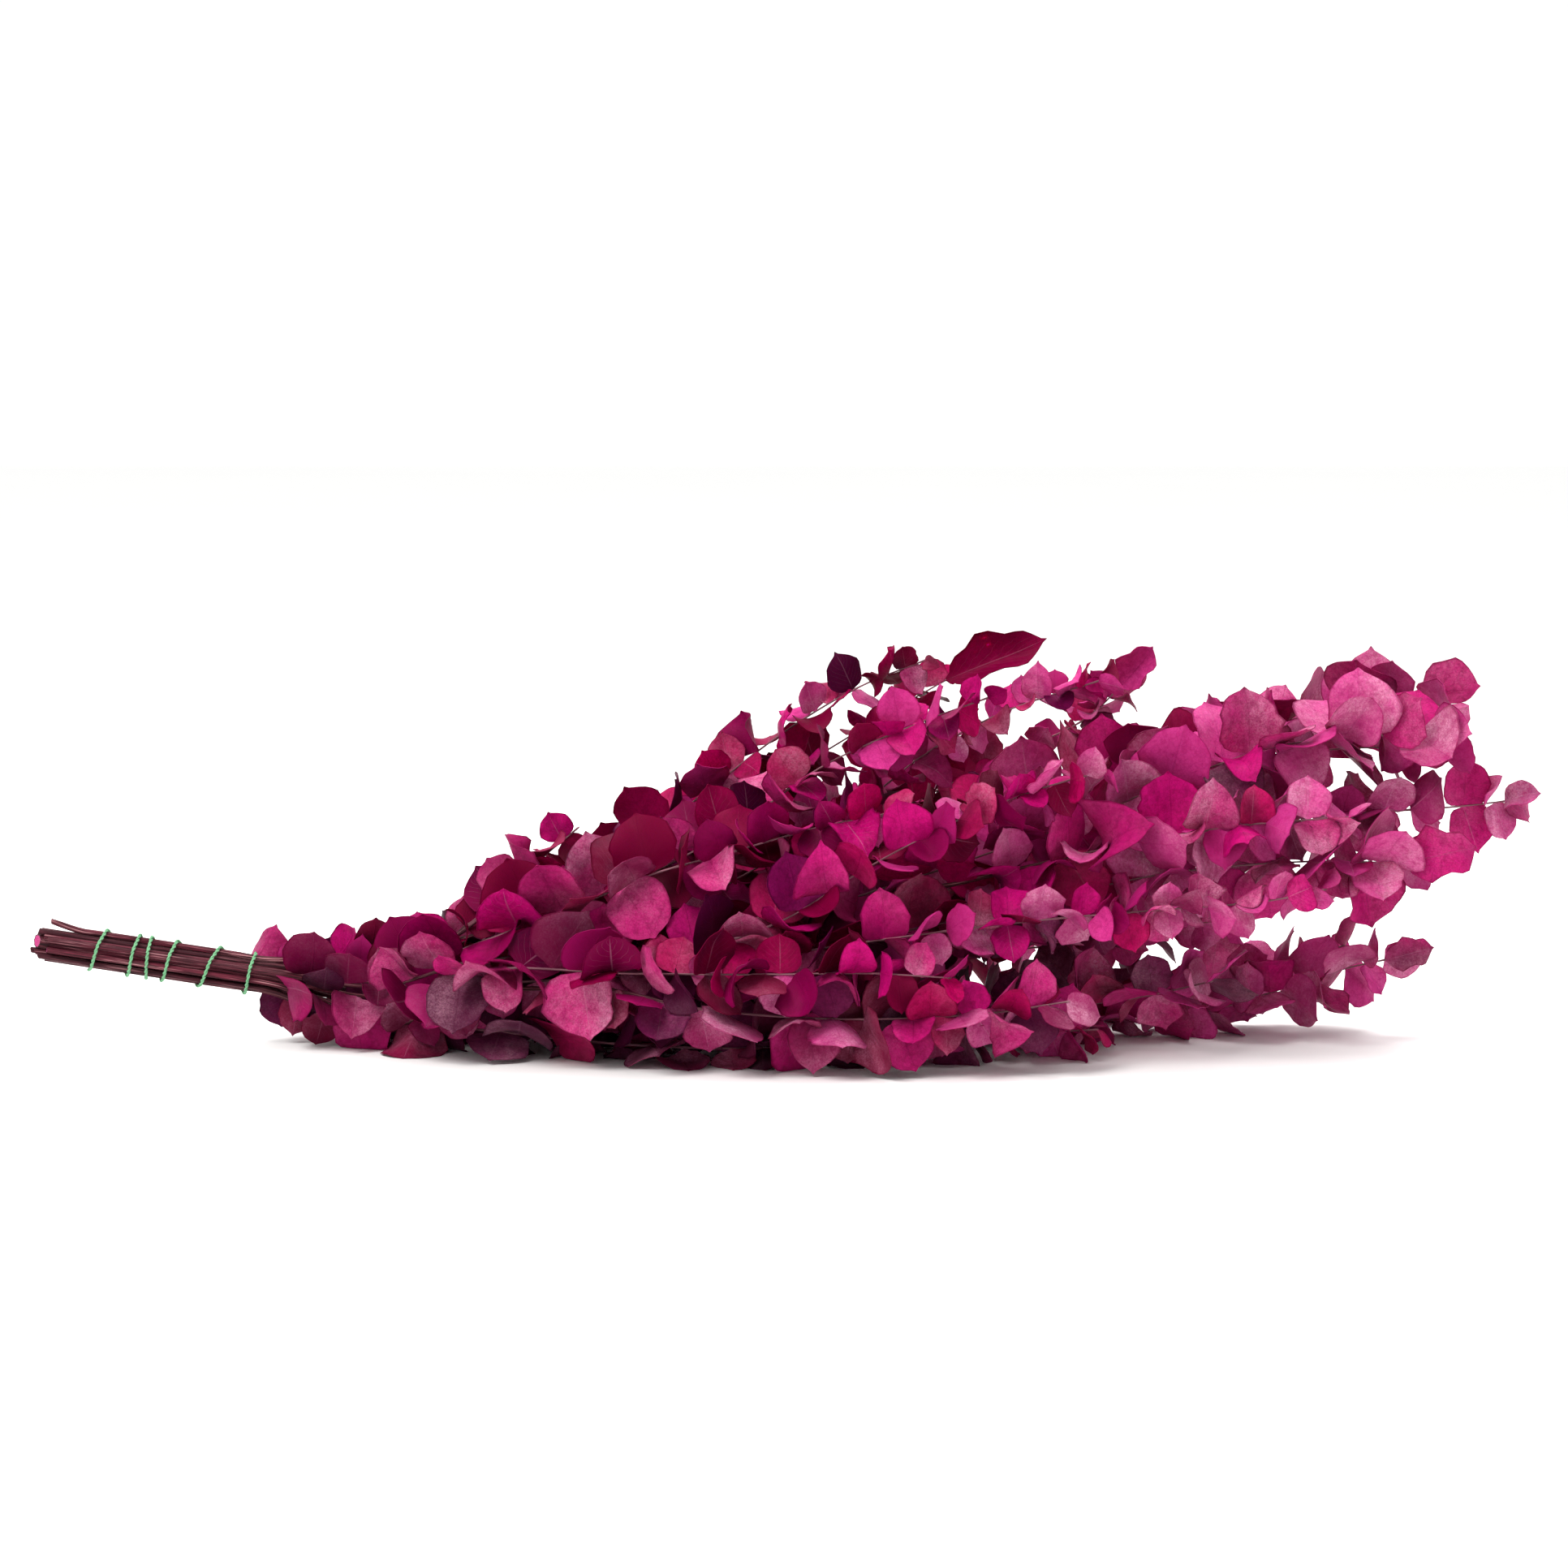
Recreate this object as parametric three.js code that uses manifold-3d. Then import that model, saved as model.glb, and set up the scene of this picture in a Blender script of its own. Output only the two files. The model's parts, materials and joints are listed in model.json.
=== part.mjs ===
// A tied bunch of preserved eucalyptus that lies on its side on a flat surface.
// Millimetres, +Z up. +X runs from the cut ends to the leaf tips, and -Y is the front.
// The routes below count X from the cut ends and Y from the middle of the tie. The whole
// group is then moved, so that its origin is the middle of the bunch's foot print.

import * as THREE from "three";
import { mergeVertices } from "three/addons/utils/BufferGeometryUtils.js";
import Module from "manifold-3d";

const wasm = await Module();
wasm.setup();

// ---- Driving dimensions, mm ----
const FOOTPRINT_CENTRE = { x: 352.3, y: 6.8 };
const TIE_HEIGHT = 50.2; // the bundle's centre above the surface, at the cut ends
const TIE_FALL = 0.152; // how much the tied bundle drops for each mm along X
const TIED_LENGTH = 112; // the stems run side by side up to here
const SPREAD_X = 165; // just past the tie each stem leans the way it was packed
const SPREAD = 2.4; // its distance from the bundle's centre there, against that in the tie
const THICK_STEM = 3.4; // radius of the one heavy stem in the middle of the tie
const THIN_STEM = 1.4; // radius of every other stem in the tie
const BRANCH = 1.1; // radius of a side branch where it leaves its stem
const STEM_TIP = 0.6; // radius of every stem at its tip
const STEM_GAP = 0.38; // between stems that lie side by side
const STEM_SIDES = 4; // side faces of a thin stem; a leaf takes the place of a piece of one
const THICK_SIDES = 8;
const BARE_STEP = 22; // between the rings of a bare stem that bends
const LEAST_STEP = 3; // between the last of these rings and the first leaf pair
const MOST_BOW = 0.7; // a stem gets one more ring where it strays this far from straight
const ROOT_HALF = 0.5; // half the height of a leaf's root on its stem
const BRANCH_PAST_PAIR = 5; // a branch leaves its stem this far beyond a leaf pair
const INNER_RING = 10; // stems in the ring round the heavy one
const THREAD = 0.85; // radius of the binding thread
const THREAD_GAP = 0.7; // between the thread and the stems that it holds
const BLADE = 0.8; // thickness of a leaf
const CLEAR = 0.45; // least gap between a leaf and anything that it isn't joined to
const LEAF_PITCH = 36; // between leaf pairs along a stem, where the leaves are largest
const ATTEMPTS = 48; // ways in which a leaf may be turned before its place stays empty
const DEEPEST_PRESS = 9; // how far the surface may press a leaf up out of its free shape
const LINE_STEPS = 10; // pieces of a stem's line between two points of its route
const STRAIGHT_SHARE = 0.85; // a stem lies quite straight over this share of the tied length
const LIFTED = [24, 29]; // X where a cut end that stands off the bundle comes to lie on it
const TIP_PITCH = 0.65; // pitch of the leaf pairs at a stem's tip against LEAF_PITCH
const ROUND_LEAF = 0.5; // half width of a round leaf against its length
const BUNCH_AXIS = { height: 22, rise: 0.13 }; // the middle line of all the foliage
const SIZE = { root: 0.8, swell: 0.2, waves: 1.4, tip: 0.6 }; // of leaves along a stem
const TINY = 1e-9; // squared lengths below this count as none

// ---- How far one leaf may differ from the next: degrees, or shares of its length ----
const STRAY = { turn: 24, open: 13, face: 0.35, length: 0.08, width: 0.1 };
const OPEN = { shown: 18, tip: 26, least: 52, more: 20 }; // degrees between a leaf and its stem
const BEND = { curl: 0.22, cup: 0.12, leastCup: 0.05, twist: 0.18 };
const RETRY = { wider: 1 / 16, smaller: 0.008, smallest: 0.72 }; // for each attempt that fails
const LEAST_OUTWARD = 0.15; // how much every leaf's face turns outward
const MOST_SHOWN = 0.9; // how squarely the leaf named by last faces the front
const TIP_SLIM = 0.8; // width of the leaves at a tip against the others
const PHASE = 45; // degrees by which a stem's first leaf pair may be turned either way
const FRONT = 180; // degrees round a stem to its front

// ---- Stems ----
// slot: place in the tie, or -1 for its middle. butt: X of the cut end. lift: how far that end
// stands off the bundle. leafy: X where the leaves begin. leaf: length of the largest leaves.
// slim: their width against a round leaf. tip: size of the tip's leaves against the largest.
// last: length of a leaf at the tip that shows its face in front, and lastSlim its width.
// route: points beyond the tie. shoots: side branches, and from is the number of the leaf pair
// that a branch grows past.
const STEMS = [
  { slot: 2, butt: 5, leafy: 205, leaf: 27, route: [[232, 8, 60], [276, 14, 85], [320, 16, 121],
    [359, 18, 150], [390, 20, 168], [420, 22, 180]] },
  { slot: 1, butt: 6, leafy: 200, leaf: 29, last: 51, lastSlim: 0.45, route: [[240, 26, 60],
    [298, 36, 90], [359, 44, 126], [401, 50, 151], [431, 54, 168]] },
  { slot: 12, butt: 10, lift: 2.6, leafy: 175, leaf: 31, route: [[222, -22, 59], [283, -30, 81],
    [334, -34, 109], [372, -36, 136], [416, -38, 156], [448, -40, 168]] },
  { slot: 3, butt: 4, leafy: 170, leaf: 29, slim: 0.8, route: [[230, -4, 48], [302, -10, 66],
    [352, -12, 92], [394, -12, 119], [419, -14, 139], [458, -16, 160], [500, -20, 174]] },
  { slot: 10, butt: 3, leafy: 104, leaf: 31, slim: 0.85, last: 29, route: [[230, 36, 42],
    [314, 54, 67], [397, 62, 100], [462, 62, 131], [498, 58, 149], [514, 56, 164]] },
  { slot: 0, butt: 8, leafy: 190, leaf: 39, route: [[230, 16, 40], [329, 22, 63], [435, 26, 97],
    [530, 28, 133], [595, 26, 152], [630, 24, 160], [654, 20, 164]], tip: 0.85,
    shoots: [{ from: 8, leafy: 520, leaf: 37, tip: 0.8, route: [[496, 22, 113], [530, 14, 124],
      [570, 6, 133], [612, 2, 140], [650, 0, 141]] }] },
  { slot: 14, butt: 9, leafy: 165, leaf: 32, route: [[215, -44, 47], [291, -62, 50],
    [350, -70, 67], [390, -72, 92], [432, -70, 114], [469, -66, 128], [500, -60, 136]] },
  { slot: 4, butt: 7, leafy: 132, leaf: 35, route: [[210, -31, 52], [260, -48, 73], [294, -54, 88],
    [329, -56, 98], [370, -58, 110], [400, -58, 116]],
    shoots: [{ from: 1, leafy: 206, leaf: 27, route: [[214, -32, 66], [226, -33, 78],
      [241, -31, 92], [258, -28, 106]] }] },
  { slot: 5, butt: 10, leafy: 170, leaf: 38, route: [[222, -14, 38], [314, -24, 52],
    [405, -30, 80], [492, -34, 111], [530, -34, 127], [580, -30, 144], [625, -26, 149],
    [662, -22, 149]], tip: 0.8,
    shoots: [{ from: 7, leafy: 450, leaf: 33, route: [[425, -38, 80], [470, -50, 92],
      [520, -58, 104], [570, -62, 112], [612, -62, 115]] }] },
  { slot: -1, butt: 3, leafy: 230, leaf: 36, route: [[230, 0, 34], [329, 0, 48], [443, -4, 77],
    [538, -8, 102], [621, -10, 111], [665, -10, 114], [690, -12, 117]] },
  { slot: 6, butt: 8, leafy: 124, leaf: 37, last: 42, route: [[222, -24, 31], [329, -40, 44],
    [443, -48, 68], [526, -50, 87], [595, -48, 93], [638, -46, 92]], tip: 0.85 },
  { slot: 16, butt: 4, leafy: 130, leaf: 27, route: [[215, -44, 34], [291, -66, 43],
    [386, -78, 59], [461, -80, 69], [519, -78, 74], [574, -74, 78], [600, -72, 83]] },
  { slot: 9, butt: 4, leafy: 180, leaf: 25, route: [[230, 22, 26], [329, 36, 34],
    [443, 44, 47], [526, 44, 53], [568, 42, 52]] },
  { slot: 15, butt: 9, leafy: 120, leaf: 33, route: [[210, -54, 43], [287, -84, 46],
    [340, -94, 47], [395, -98, 48], [428, -98, 46]],
    shoots: [{ from: 2, leafy: 290, leaf: 33, route: [[270, -78, 38], [314, -84, 30],
      [382, -90, 26], [446, -92, 29], [482, -90, 34]] }] },
  { slot: 8, butt: 0, leafy: 126, leaf: 33, last: 27, route: [[215, 4, 17], [314, 10, 10],
    [405, 16, 8], [481, 22, 9], [553, 28, 12], [590, 32, 22], [622, 34, 32], [640, 34, 36]],
    tip: 0.8,
    shoots: [{ from: 9, leafy: 525, leaf: 31, tip: 0.75, route: [[505, 30, 14], [545, 44, 21],
      [585, 52, 30], [622, 54, 40]] },
    { from: 8, leafy: 455, leaf: 31, tip: 0.85, route: [[455, 6, 14], [490, -8, 20],
      [525, -20, 27], [552, -26, 34]] }] },
  { slot: 7, butt: 2, leafy: 120, leaf: 35, route: [[200, -26, 13], [276, -46, 8],
    [348, -54, 7], [426, -50, 11], [498, -42, 14]] },
  { slot: 17, butt: 7, leafy: 124, leaf: 33, route: [[215, 30, 12], [298, 52, 7], [386, 66, 6],
    [462, 72, 7], [522, 72, 10]] },
  { slot: 19, butt: 3, leafy: 112, leaf: 35, route: [[215, 46, 30], [298, 78, 38],
    [386, 94, 55], [462, 98, 70], [522, 94, 84]],
    shoots: [{ from: 2, leafy: 275, leaf: 33, route: [[250, 66, 50], [329, 80, 76],
      [405, 88, 100], [460, 86, 118]] }] },
  { slot: 18, butt: 5, leafy: 122, leaf: 35, route: [[215, 46, 18], [298, 80, 14],
    [386, 102, 22], [469, 108, 31], [532, 104, 38]] },
];

// ---- The thread: X where each pass starts under the bundle and ends on top, in front ----
const THREAD_PASSES = [[27, 36], [45, 51.5], [54, 57], [61, 69], [78, 89], [100, 106]];
const THREAD_TURN_STEPS = 14; // straight pieces in one turn
const THREAD_SIDES = 5;

// ---- Colours: lit and shaded leaves, and the thread ----
const LEAF_COLOURS = [0xa8246a, 0x98205e, 0xb03a78, 0x86204e, 0x9c2a72, 0x7c2250];
const THREAD_COLOUR = 0x5ccf8a;

function leafyMaterial(index) {
  const color = LEAF_COLOURS[index % LEAF_COLOURS.length];
  return new THREE.MeshStandardMaterial({ color, roughness: 0.62, metalness: 0 });
}

function threadMaterial() {
  return new THREE.MeshStandardMaterial({ color: THREAD_COLOUR, roughness: 0.7, metalness: 0 });
}

// ---- Seeded draws: the same keys always give the same row of numbers from 0 to 1 ----
const HASH = { start: 2166912323, prime: 16777619 };
const ROW = { times: 1664525, plus: 1013904223, range: 2 ** 32 };

function draws(...keys) {
  let state = HASH.start;
  for (const key of keys) state = Math.imul(state ^ (key + 1), HASH.prime) >>> 0;
  const next = () => {
    state = (Math.imul(state, ROW.times) + ROW.plus) >>> 0;
    return state / ROW.range;
  };
  next();
  next();
  return next;
}

// ---- Lines ----
const vec = (x, y, z) => new THREE.Vector3(x, y, z);
const UP = vec(0, 0, 1);

// A centripetal Catmull-Rom line through the points, as a list of points.
function smoothLine(points) {
  const first = points[0].clone().multiplyScalar(2).sub(points[1]);
  const end = points.at(-1).clone().multiplyScalar(2).sub(points.at(-2));
  const all = [first, ...points, end];
  const line = [points[0].clone()];
  for (let i = 1; i < all.length - 2; i++) {
    const [p0, p1, p2, p3] = all.slice(i - 1, i + 3);
    const t1 = Math.sqrt(p0.distanceTo(p1));
    const t2 = t1 + Math.sqrt(p1.distanceTo(p2));
    const t3 = t2 + Math.sqrt(p2.distanceTo(p3));
    const mix = (a, b, ta, tb, t) => a.clone().lerp(b, (t - ta) / (tb - ta));
    for (let k = 1; k <= LINE_STEPS; k++) {
      const t = t1 + ((t2 - t1) * k) / LINE_STEPS;
      const a1 = mix(p0, p1, 0, t1, t);
      const a2 = mix(p1, p2, t1, t2, t);
      const a3 = mix(p2, p3, t2, t3, t);
      line.push(mix(mix(a1, a2, 0, t2, t), mix(a2, a3, t1, t3, t), t1, t2, t));
    }
  }
  return line;
}

function lineLength(line) {
  let length = 0;
  for (let i = 1; i < line.length; i++) length += line[i].distanceTo(line[i - 1]);
  return length;
}

// The point and direction at a distance along a line.
function along(line, distance) {
  let left = distance;
  for (let i = 1; ; i++) {
    const piece = line[i].distanceTo(line[i - 1]);
    if (left <= piece || i === line.length - 1) {
      const tangent = line[i].clone().sub(line[i - 1]).normalize();
      return { point: line[i - 1].clone().addScaledVector(tangent, left), tangent };
    }
    left -= piece;
  }
}

// How far along a line its X first reaches a value.
function distanceAtX(line, x) {
  let distance = 0;
  for (let i = 1; i < line.length; i++) {
    const piece = line[i].distanceTo(line[i - 1]);
    if (line[i].x >= x) {
      return distance + (piece * (x - line[i - 1].x)) / (line[i].x - line[i - 1].x);
    }
    distance += piece;
  }
  return distance;
}

// How far a line strays from the straight between two distances along it.
function bow(line, from, to) {
  const middle = along(line, from).point.lerp(along(line, to).point, 0.5);
  return middle.distanceTo(along(line, (from + to) / 2).point);
}

// ---- The tie: one heavy stem, a full ring round it and a second ring in its gaps ----
const tieCentre = (x) => vec(x, 0, TIE_HEIGHT - TIE_FALL * x);

function slotOffset(slot) {
  if (slot < 0) return vec(0, 0, 0);
  const step = (2 * Math.PI) / INNER_RING;
  const inner = THICK_STEM + STEM_GAP + THIN_STEM;
  const touch = 2 * THIN_STEM + STEM_GAP;
  const half = inner * Math.cos(step / 2);
  const outer = half + Math.sqrt(touch * touch - (inner * Math.sin(step / 2)) ** 2);
  const radius = slot < INNER_RING ? inner : outer;
  const angle = (slot + (slot < INNER_RING ? 0 : 0.5)) * step;
  return vec(0, radius * Math.cos(angle), radius * Math.sin(angle));
}

function stemLine(stem) {
  const offset = slotOffset(stem.slot);
  const held = [...(stem.lift ? LIFTED : []), TIED_LENGTH / 2, TIED_LENGTH * STRAIGHT_SHARE, TIED_LENGTH];
  const tied = [stem.butt, ...held].map((x) => tieCentre(x).add(offset));
  tied[0].z += stem.lift ?? 0;
  const spread = tieCentre(SPREAD_X).addScaledVector(offset, SPREAD);
  return smoothLine([...tied, spread, ...stem.route.map((p) => vec(...p))]);
}

const stemRadius = (stem) => (stem.slot < 0 ? THICK_STEM : THIN_STEM);

// ---- Leaves ----
// The free corners of a blade, anticlockwise from the right of its root: share of the length
// and of the half width. The two corners at the root are the stem's own.
const CORNERS = [[0.2, -0.82], [0.62, -0.92], [1, 0], [0.62, 0.92], [0.2, 0.82]];
const FREE_FACES = [[0, 1, 4], [1, 3, 4], [1, 2, 3]];
const degrees = THREE.MathUtils.degToRad;

// Where the leaf pairs of a shoot sit: distances along its line, closer where leaves are small.
function leafStations(shoot) {
  const total = lineLength(shoot.line);
  const from = distanceAtX(shoot.line, shoot.leafy);
  const stations = [];
  for (let at = from; at < total - LEAF_PITCH / 2.5; ) {
    const share = (at - from) / (total - from);
    stations.push({ at, share });
    at += LEAF_PITCH * (1 + (TIP_PITCH - 1) * share);
  }
  stations.push({ at: total - ROOT_HALF, share: 1 });
  return stations;
}

// The leaf's size against the largest, by its share of the way along the leafy stretch.
function sizeAt(share, tip = SIZE.tip) {
  const swell = SIZE.swell * Math.sin(Math.PI * Math.min(1, share * SIZE.waves));
  return SIZE.root + swell - (SIZE.root - tip) * share ** 3;
}

// Outer leaves turn their faces away from the middle line of the foliage.
const bunchAxis = (x) => vec(x, 0, BUNCH_AXIS.height + BUNCH_AXIS.rise * x);

// The directions across a stem, level and upward, and one at an angle between them.
function frameOf(tangent) {
  const level = UP.clone().cross(tangent).normalize();
  return { level, upward: tangent.clone().cross(level) };
}

function outOf({ level, upward }, angle) {
  const radians = degrees(angle);
  return level.clone().multiplyScalar(Math.cos(radians)).addScaledVector(upward, Math.sin(radians));
}

// Each pair stands a quarter turn from the one before it.
const growthAngle = (shoot, index, side) => shoot.phase + (index % 2) * 90 + side * 180;

// How far a shoot's first pair is turned: the leaf named by last grows in front.
function phaseOf(shoot) {
  if (shoot.last) return FRONT - ((shoot.stations.length - 1) % 2) * 90;
  return (draws(shoot.number)() * 2 - 1) * PHASE;
}

// One way to hang a leaf: its free corners, in the middle of the blade, and its face's normal.
function leafForm(shoot, index, side, attempt) {
  const next = draws(shoot.number, index, side, attempt);
  const wide = 1 + attempt * RETRY.wider;
  const jitter = (amount) => (next() * 2 - 1) * amount;
  const { at, share } = shoot.stations[index];
  const { point, tangent } = along(shoot.line, at);
  const frame = frameOf(tangent);
  const shown = share === 1 && side === 0 && shoot.last;
  const outward = shown ? vec(0, -1, 0) : point.clone().sub(bunchAxis(point.x));
  outward.addScaledVector(tangent, -outward.dot(tangent)).normalize();
  const growth = growthAngle(shoot, index, side);
  const radial = outOf(frame, growth + jitter(STRAY.turn * wide));
  const faces = shown ? MOST_SHOWN : next();
  const least = shown ? OPEN.shown : OPEN.tip;
  const opening = (share === 1 ? least : OPEN.least + OPEN.more * faces) + jitter(STRAY.open * wide);
  const [cos, sin] = [Math.cos(degrees(opening)), Math.sin(degrees(opening))];
  const forward = tangent.clone().multiplyScalar(cos).addScaledVector(radial, sin);
  const normal = tangent.clone().multiplyScalar(sin).addScaledVector(radial, -cos);
  normal.multiplyScalar(1 - faces).addScaledVector(outward, faces + LEAST_OUTWARD);
  normal.addScaledVector(outOf(frame, 360 * next()), STRAY.face * wide);
  normal.addScaledVector(forward, -normal.dot(forward)).normalize();
  const leftward = normal.clone().cross(forward);
  const largest = shown ? shoot.last : shoot.leaf * sizeAt(share, shoot.tip);
  const shrunk = Math.max(RETRY.smallest, 1 - attempt * RETRY.smaller);
  const length = largest * shrunk * (1 + jitter(STRAY.length));
  const slim = (shown && shoot.lastSlim) || (shoot.slim ?? 1) * (share === 1 ? TIP_SLIM : 1);
  const half = length * ROUND_LEAF * slim * (1 + jitter(STRAY.width));
  const curl = jitter(BEND.curl);
  const cup = BEND.leastCup + jitter(BEND.cup);
  const twist = jitter(BEND.twist);
  const corners = CORNERS.map(([u, v]) => {
    const lift = length * (curl * u * u + cup * v * v + twist * u * v);
    const corner = point.clone().addScaledVector(forward, u * length);
    return corner.addScaledVector(leftward, v * half).addScaledVector(normal, lift);
  });
  const away = outOf(frame, growth);
  const root = point.clone().addScaledVector(away, shoot.radius(at));
  return restOnSurface({ corners, normal, leftward, root, side, index }, point, away);
}

// Presses a leaf up where it would pass through the surface and lays it flat if most of it
// would. Turns down a leaf that is pressed too far or whose blade starts inside the stem.
function restOnSurface(form, point, away) {
  const low = BLADE / 2;
  const { corners } = form;
  if (corners.some((corner) => corner.z < low - DEEPEST_PRESS)) return null;
  const pressed = corners.filter((corner) => corner.z <= low).length;
  const flat = pressed >= 3 && corners.every((corner) => corner.z < low + DEEPEST_PRESS);
  for (const corner of corners) corner.z = flat ? low : Math.max(corner.z, low);
  const rise = form.root.distanceTo(point) + BLADE;
  if ([corners[0], corners[4]].some((c) => c.clone().sub(point).dot(away) < rise)) return null;
  if (flat) form.normal = vec(0, 0, form.normal.z < 0 ? -1 : 1);
  return form;
}

// ---- Keeping clear: distances between triangles; a stem's piece is a triangle of no width ----
function segmentGap2(p1, q1, p2, q2) {
  const d1 = q1.clone().sub(p1);
  const d2 = q2.clone().sub(p2);
  const r = p1.clone().sub(p2);
  const [a, e, f, c] = [d1.dot(d1), d2.dot(d2), d2.dot(r), d1.dot(r)];
  const b = d1.dot(d2);
  const clamp = (x) => Math.min(1, Math.max(0, x));
  const below = a * e - b * b;
  let s = below > TINY ? clamp((b * f - c * e) / below) : 0;
  let t = e > TINY ? (b * s + f) / e : 0;
  if (t < 0 || t > 1) {
    t = clamp(t);
    s = a > TINY ? clamp((b * t - c) / a) : 0;
  }
  return d1.multiplyScalar(s).sub(d2.multiplyScalar(t)).add(r).lengthSq();
}

function pierces(p, q, [a, b, c]) {
  const direction = q.clone().sub(p);
  const length = direction.length();
  if (length * length < TINY) return false;
  const ray = new THREE.Ray(p, direction.divideScalar(length));
  const hit = ray.intersectTriangle(a, b, c, false, vec());
  return hit !== null && hit.distanceTo(p) <= length;
}

const edges = ([a, b, c]) => (b === c ? [[a, b]] : [[a, b], [b, c], [c, a]]);

function flatGap2(p, [a, b, c]) {
  return new THREE.Triangle(a, b, c).closestPointToPoint(p, vec()).distanceToSquared(p);
}

function trianglesNear(first, second, gap) {
  const gap2 = gap * gap;
  for (const [p, q] of edges(first)) {
    for (const [r, s] of edges(second)) if (segmentGap2(p, q, r, s) < gap2) return true;
  }
  for (const [one, other] of [[first, second], [second, first]]) {
    if (other[1] === other[2]) continue;
    if (edges(one).some(([p, q]) => pierces(p, q, other))) return true;
    if (one.some((p) => flatGap2(p, other) < gap2)) return true;
  }
  return false;
}

// An obstacle is a set of triangles, half the thickness round them, and what it belongs to.
function obstacle(triangles, reach, owner) {
  const parts = triangles.map((corners) => ({ corners, box: new THREE.Box3().setFromPoints(corners) }));
  const box = new THREE.Box3().setFromPoints(triangles.flat()).expandByScalar(reach);
  return { parts, box, reach, owner };
}

function obstaclesNear(one, other) {
  const gap = one.reach + other.reach + CLEAR;
  for (const a of one.parts) {
    const box = a.box.clone().expandByScalar(gap);
    for (const b of other.parts) {
      if (box.intersectsBox(b.box) && trianglesNear(a.corners, b.corners, gap)) return true;
    }
  }
  return false;
}

// A shoot's line as obstacles: one for each straight piece, as thick as the stem is there.
function lineObstacles(line, radius, owner) {
  let distance = 0;
  return line.slice(1).map((point, i) => {
    distance += point.distanceTo(line[i]);
    return obstacle([[line[i], point, point]], radius(distance), owner);
  });
}

// A leaf keeps clear of everything, apart from its own root. Against its own stem and the
// other leaf of its pair only the free part of the blade counts.
function clearBlade(form, placed, stemName, pairName) {
  const free = FREE_FACES.map((face) => face.map((k) => form.corners[k]));
  const whole = [[form.root, form.corners[0], form.corners[4]], ...free];
  const freePart = obstacle(free, BLADE / 2, pairName);
  const blade = obstacle(whole, BLADE / 2, pairName);
  const box = blade.box.clone().expandByScalar(CLEAR);
  const touched = placed.filter((other) => box.intersectsBox(other.box)).some((other) => {
    const own = other.owner === stemName || other.owner === pairName;
    return obstaclesNear(own ? freePart : blade, other);
  });
  return touched ? null : blade;
}

// ---- Solids ----
function closedGeometry(points, triangles) {
  const geometry = new THREE.BufferGeometry();
  const numbers = points.flatMap((p) => p.toArray());
  geometry.setAttribute("position", new THREE.Float32BufferAttribute(numbers, 3));
  geometry.setIndex(triangles.flat());
  return geometry;
}

// The blade that grows out of one side face of a stem. The face's four corners, named by
// their numbers, become the root of the blade's upper and lower faces.
function addBlade(form, face, points, triangles) {
  const { corners, normal, leftward } = form;
  const upper = corners.map((c) => points.push(c.clone().addScaledVector(normal, BLADE / 2)) - 1);
  const lower = corners.map((c) => points.push(c.clone().addScaledVector(normal, -BLADE / 2)) - 1);
  const turned = [0, 1, 2, 3].map((k) => [0, 1, 2, 3].map((i) => face[(i + k) % 4]));
  const step = (from, to) => points[to].clone().sub(points[from]);
  const fit = ([a, b, , d]) => step(b, a).dot(leftward) + step(d, a).dot(normal);
  const best = turned.reduce((one, other) => (fit(other) > fit(one) ? other : one));
  const [left, right, lowRight, lowLeft] = best;
  const top = [right, ...upper, left];
  const bottom = [lowRight, ...lower, lowLeft];
  for (const [a, b, c] of [[0, 1, 5], [0, 5, 6], ...FREE_FACES.map((f) => f.map((k) => k + 1))]) {
    triangles.push([top[a], top[b], top[c]], [bottom[a], bottom[c], bottom[b]]);
  }
  for (let k = 0; k + 1 < top.length; k++) {
    triangles.push([bottom[k], bottom[k + 1], top[k + 1]], [bottom[k], top[k + 1], top[k]]);
  }
}

// A shoot with its leaves as one closed body: a tapered rod with flat ends, whose rings stand
// in twos at each leaf pair, so that a blade takes the place of the side face between them.
function shootGeometry(shoot) {
  const sides = shoot.sides;
  const points = [];
  const triangles = [];
  const stops = shoot.bareStops.map((at) => ({ at }));
  shoot.stations.forEach(({ at }, index) => {
    stops.push({ at: at - ROOT_HALF, pair: index }, { at: at + ROOT_HALF });
    const beyond = shoot.stations[index + 1]?.at ?? at;
    if (bow(shoot.line, at, beyond) > MOST_BOW) stops.push({ at: (at + beyond) / 2 });
  });
  for (const { at } of stops) {
    const { point, tangent } = along(shoot.line, at);
    const frame = frameOf(tangent);
    for (let k = 0; k < sides; k++) {
      const direction = outOf(frame, shoot.phase + ((k - 0.5) * 360) / sides);
      points.push(point.clone().addScaledVector(direction, shoot.radius(at)));
    }
  }
  for (let i = 0; i + 1 < stops.length; i++) {
    for (let k = 0; k < sides; k++) {
      const [a, b] = [i * sides + k, i * sides + ((k + 1) % sides)];
      const leaf = shoot.leaves.find((form) => form.index === stops[i].pair
        && ((form.index % 2) + form.side * 2) * (sides / 4) === k);
      if (leaf) addBlade(leaf, [a, b, b + sides, a + sides], points, triangles);
      else triangles.push([a, b, a + sides], [b, b + sides, a + sides]);
    }
  }
  const last = (stops.length - 1) * sides;
  for (let k = 1; k + 1 < sides; k++) {
    triangles.push([0, k + 1, k], [last, last + k, last + k + 1]);
  }
  return closedGeometry(points, triangles);
}

function solid(geometry) {
  const vertProperties = geometry.attributes.position.array;
  const triVerts = Uint32Array.from(geometry.index.array);
  return new wasm.Manifold(new wasm.Mesh({ numProp: 3, vertProperties, triVerts }));
}

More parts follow.
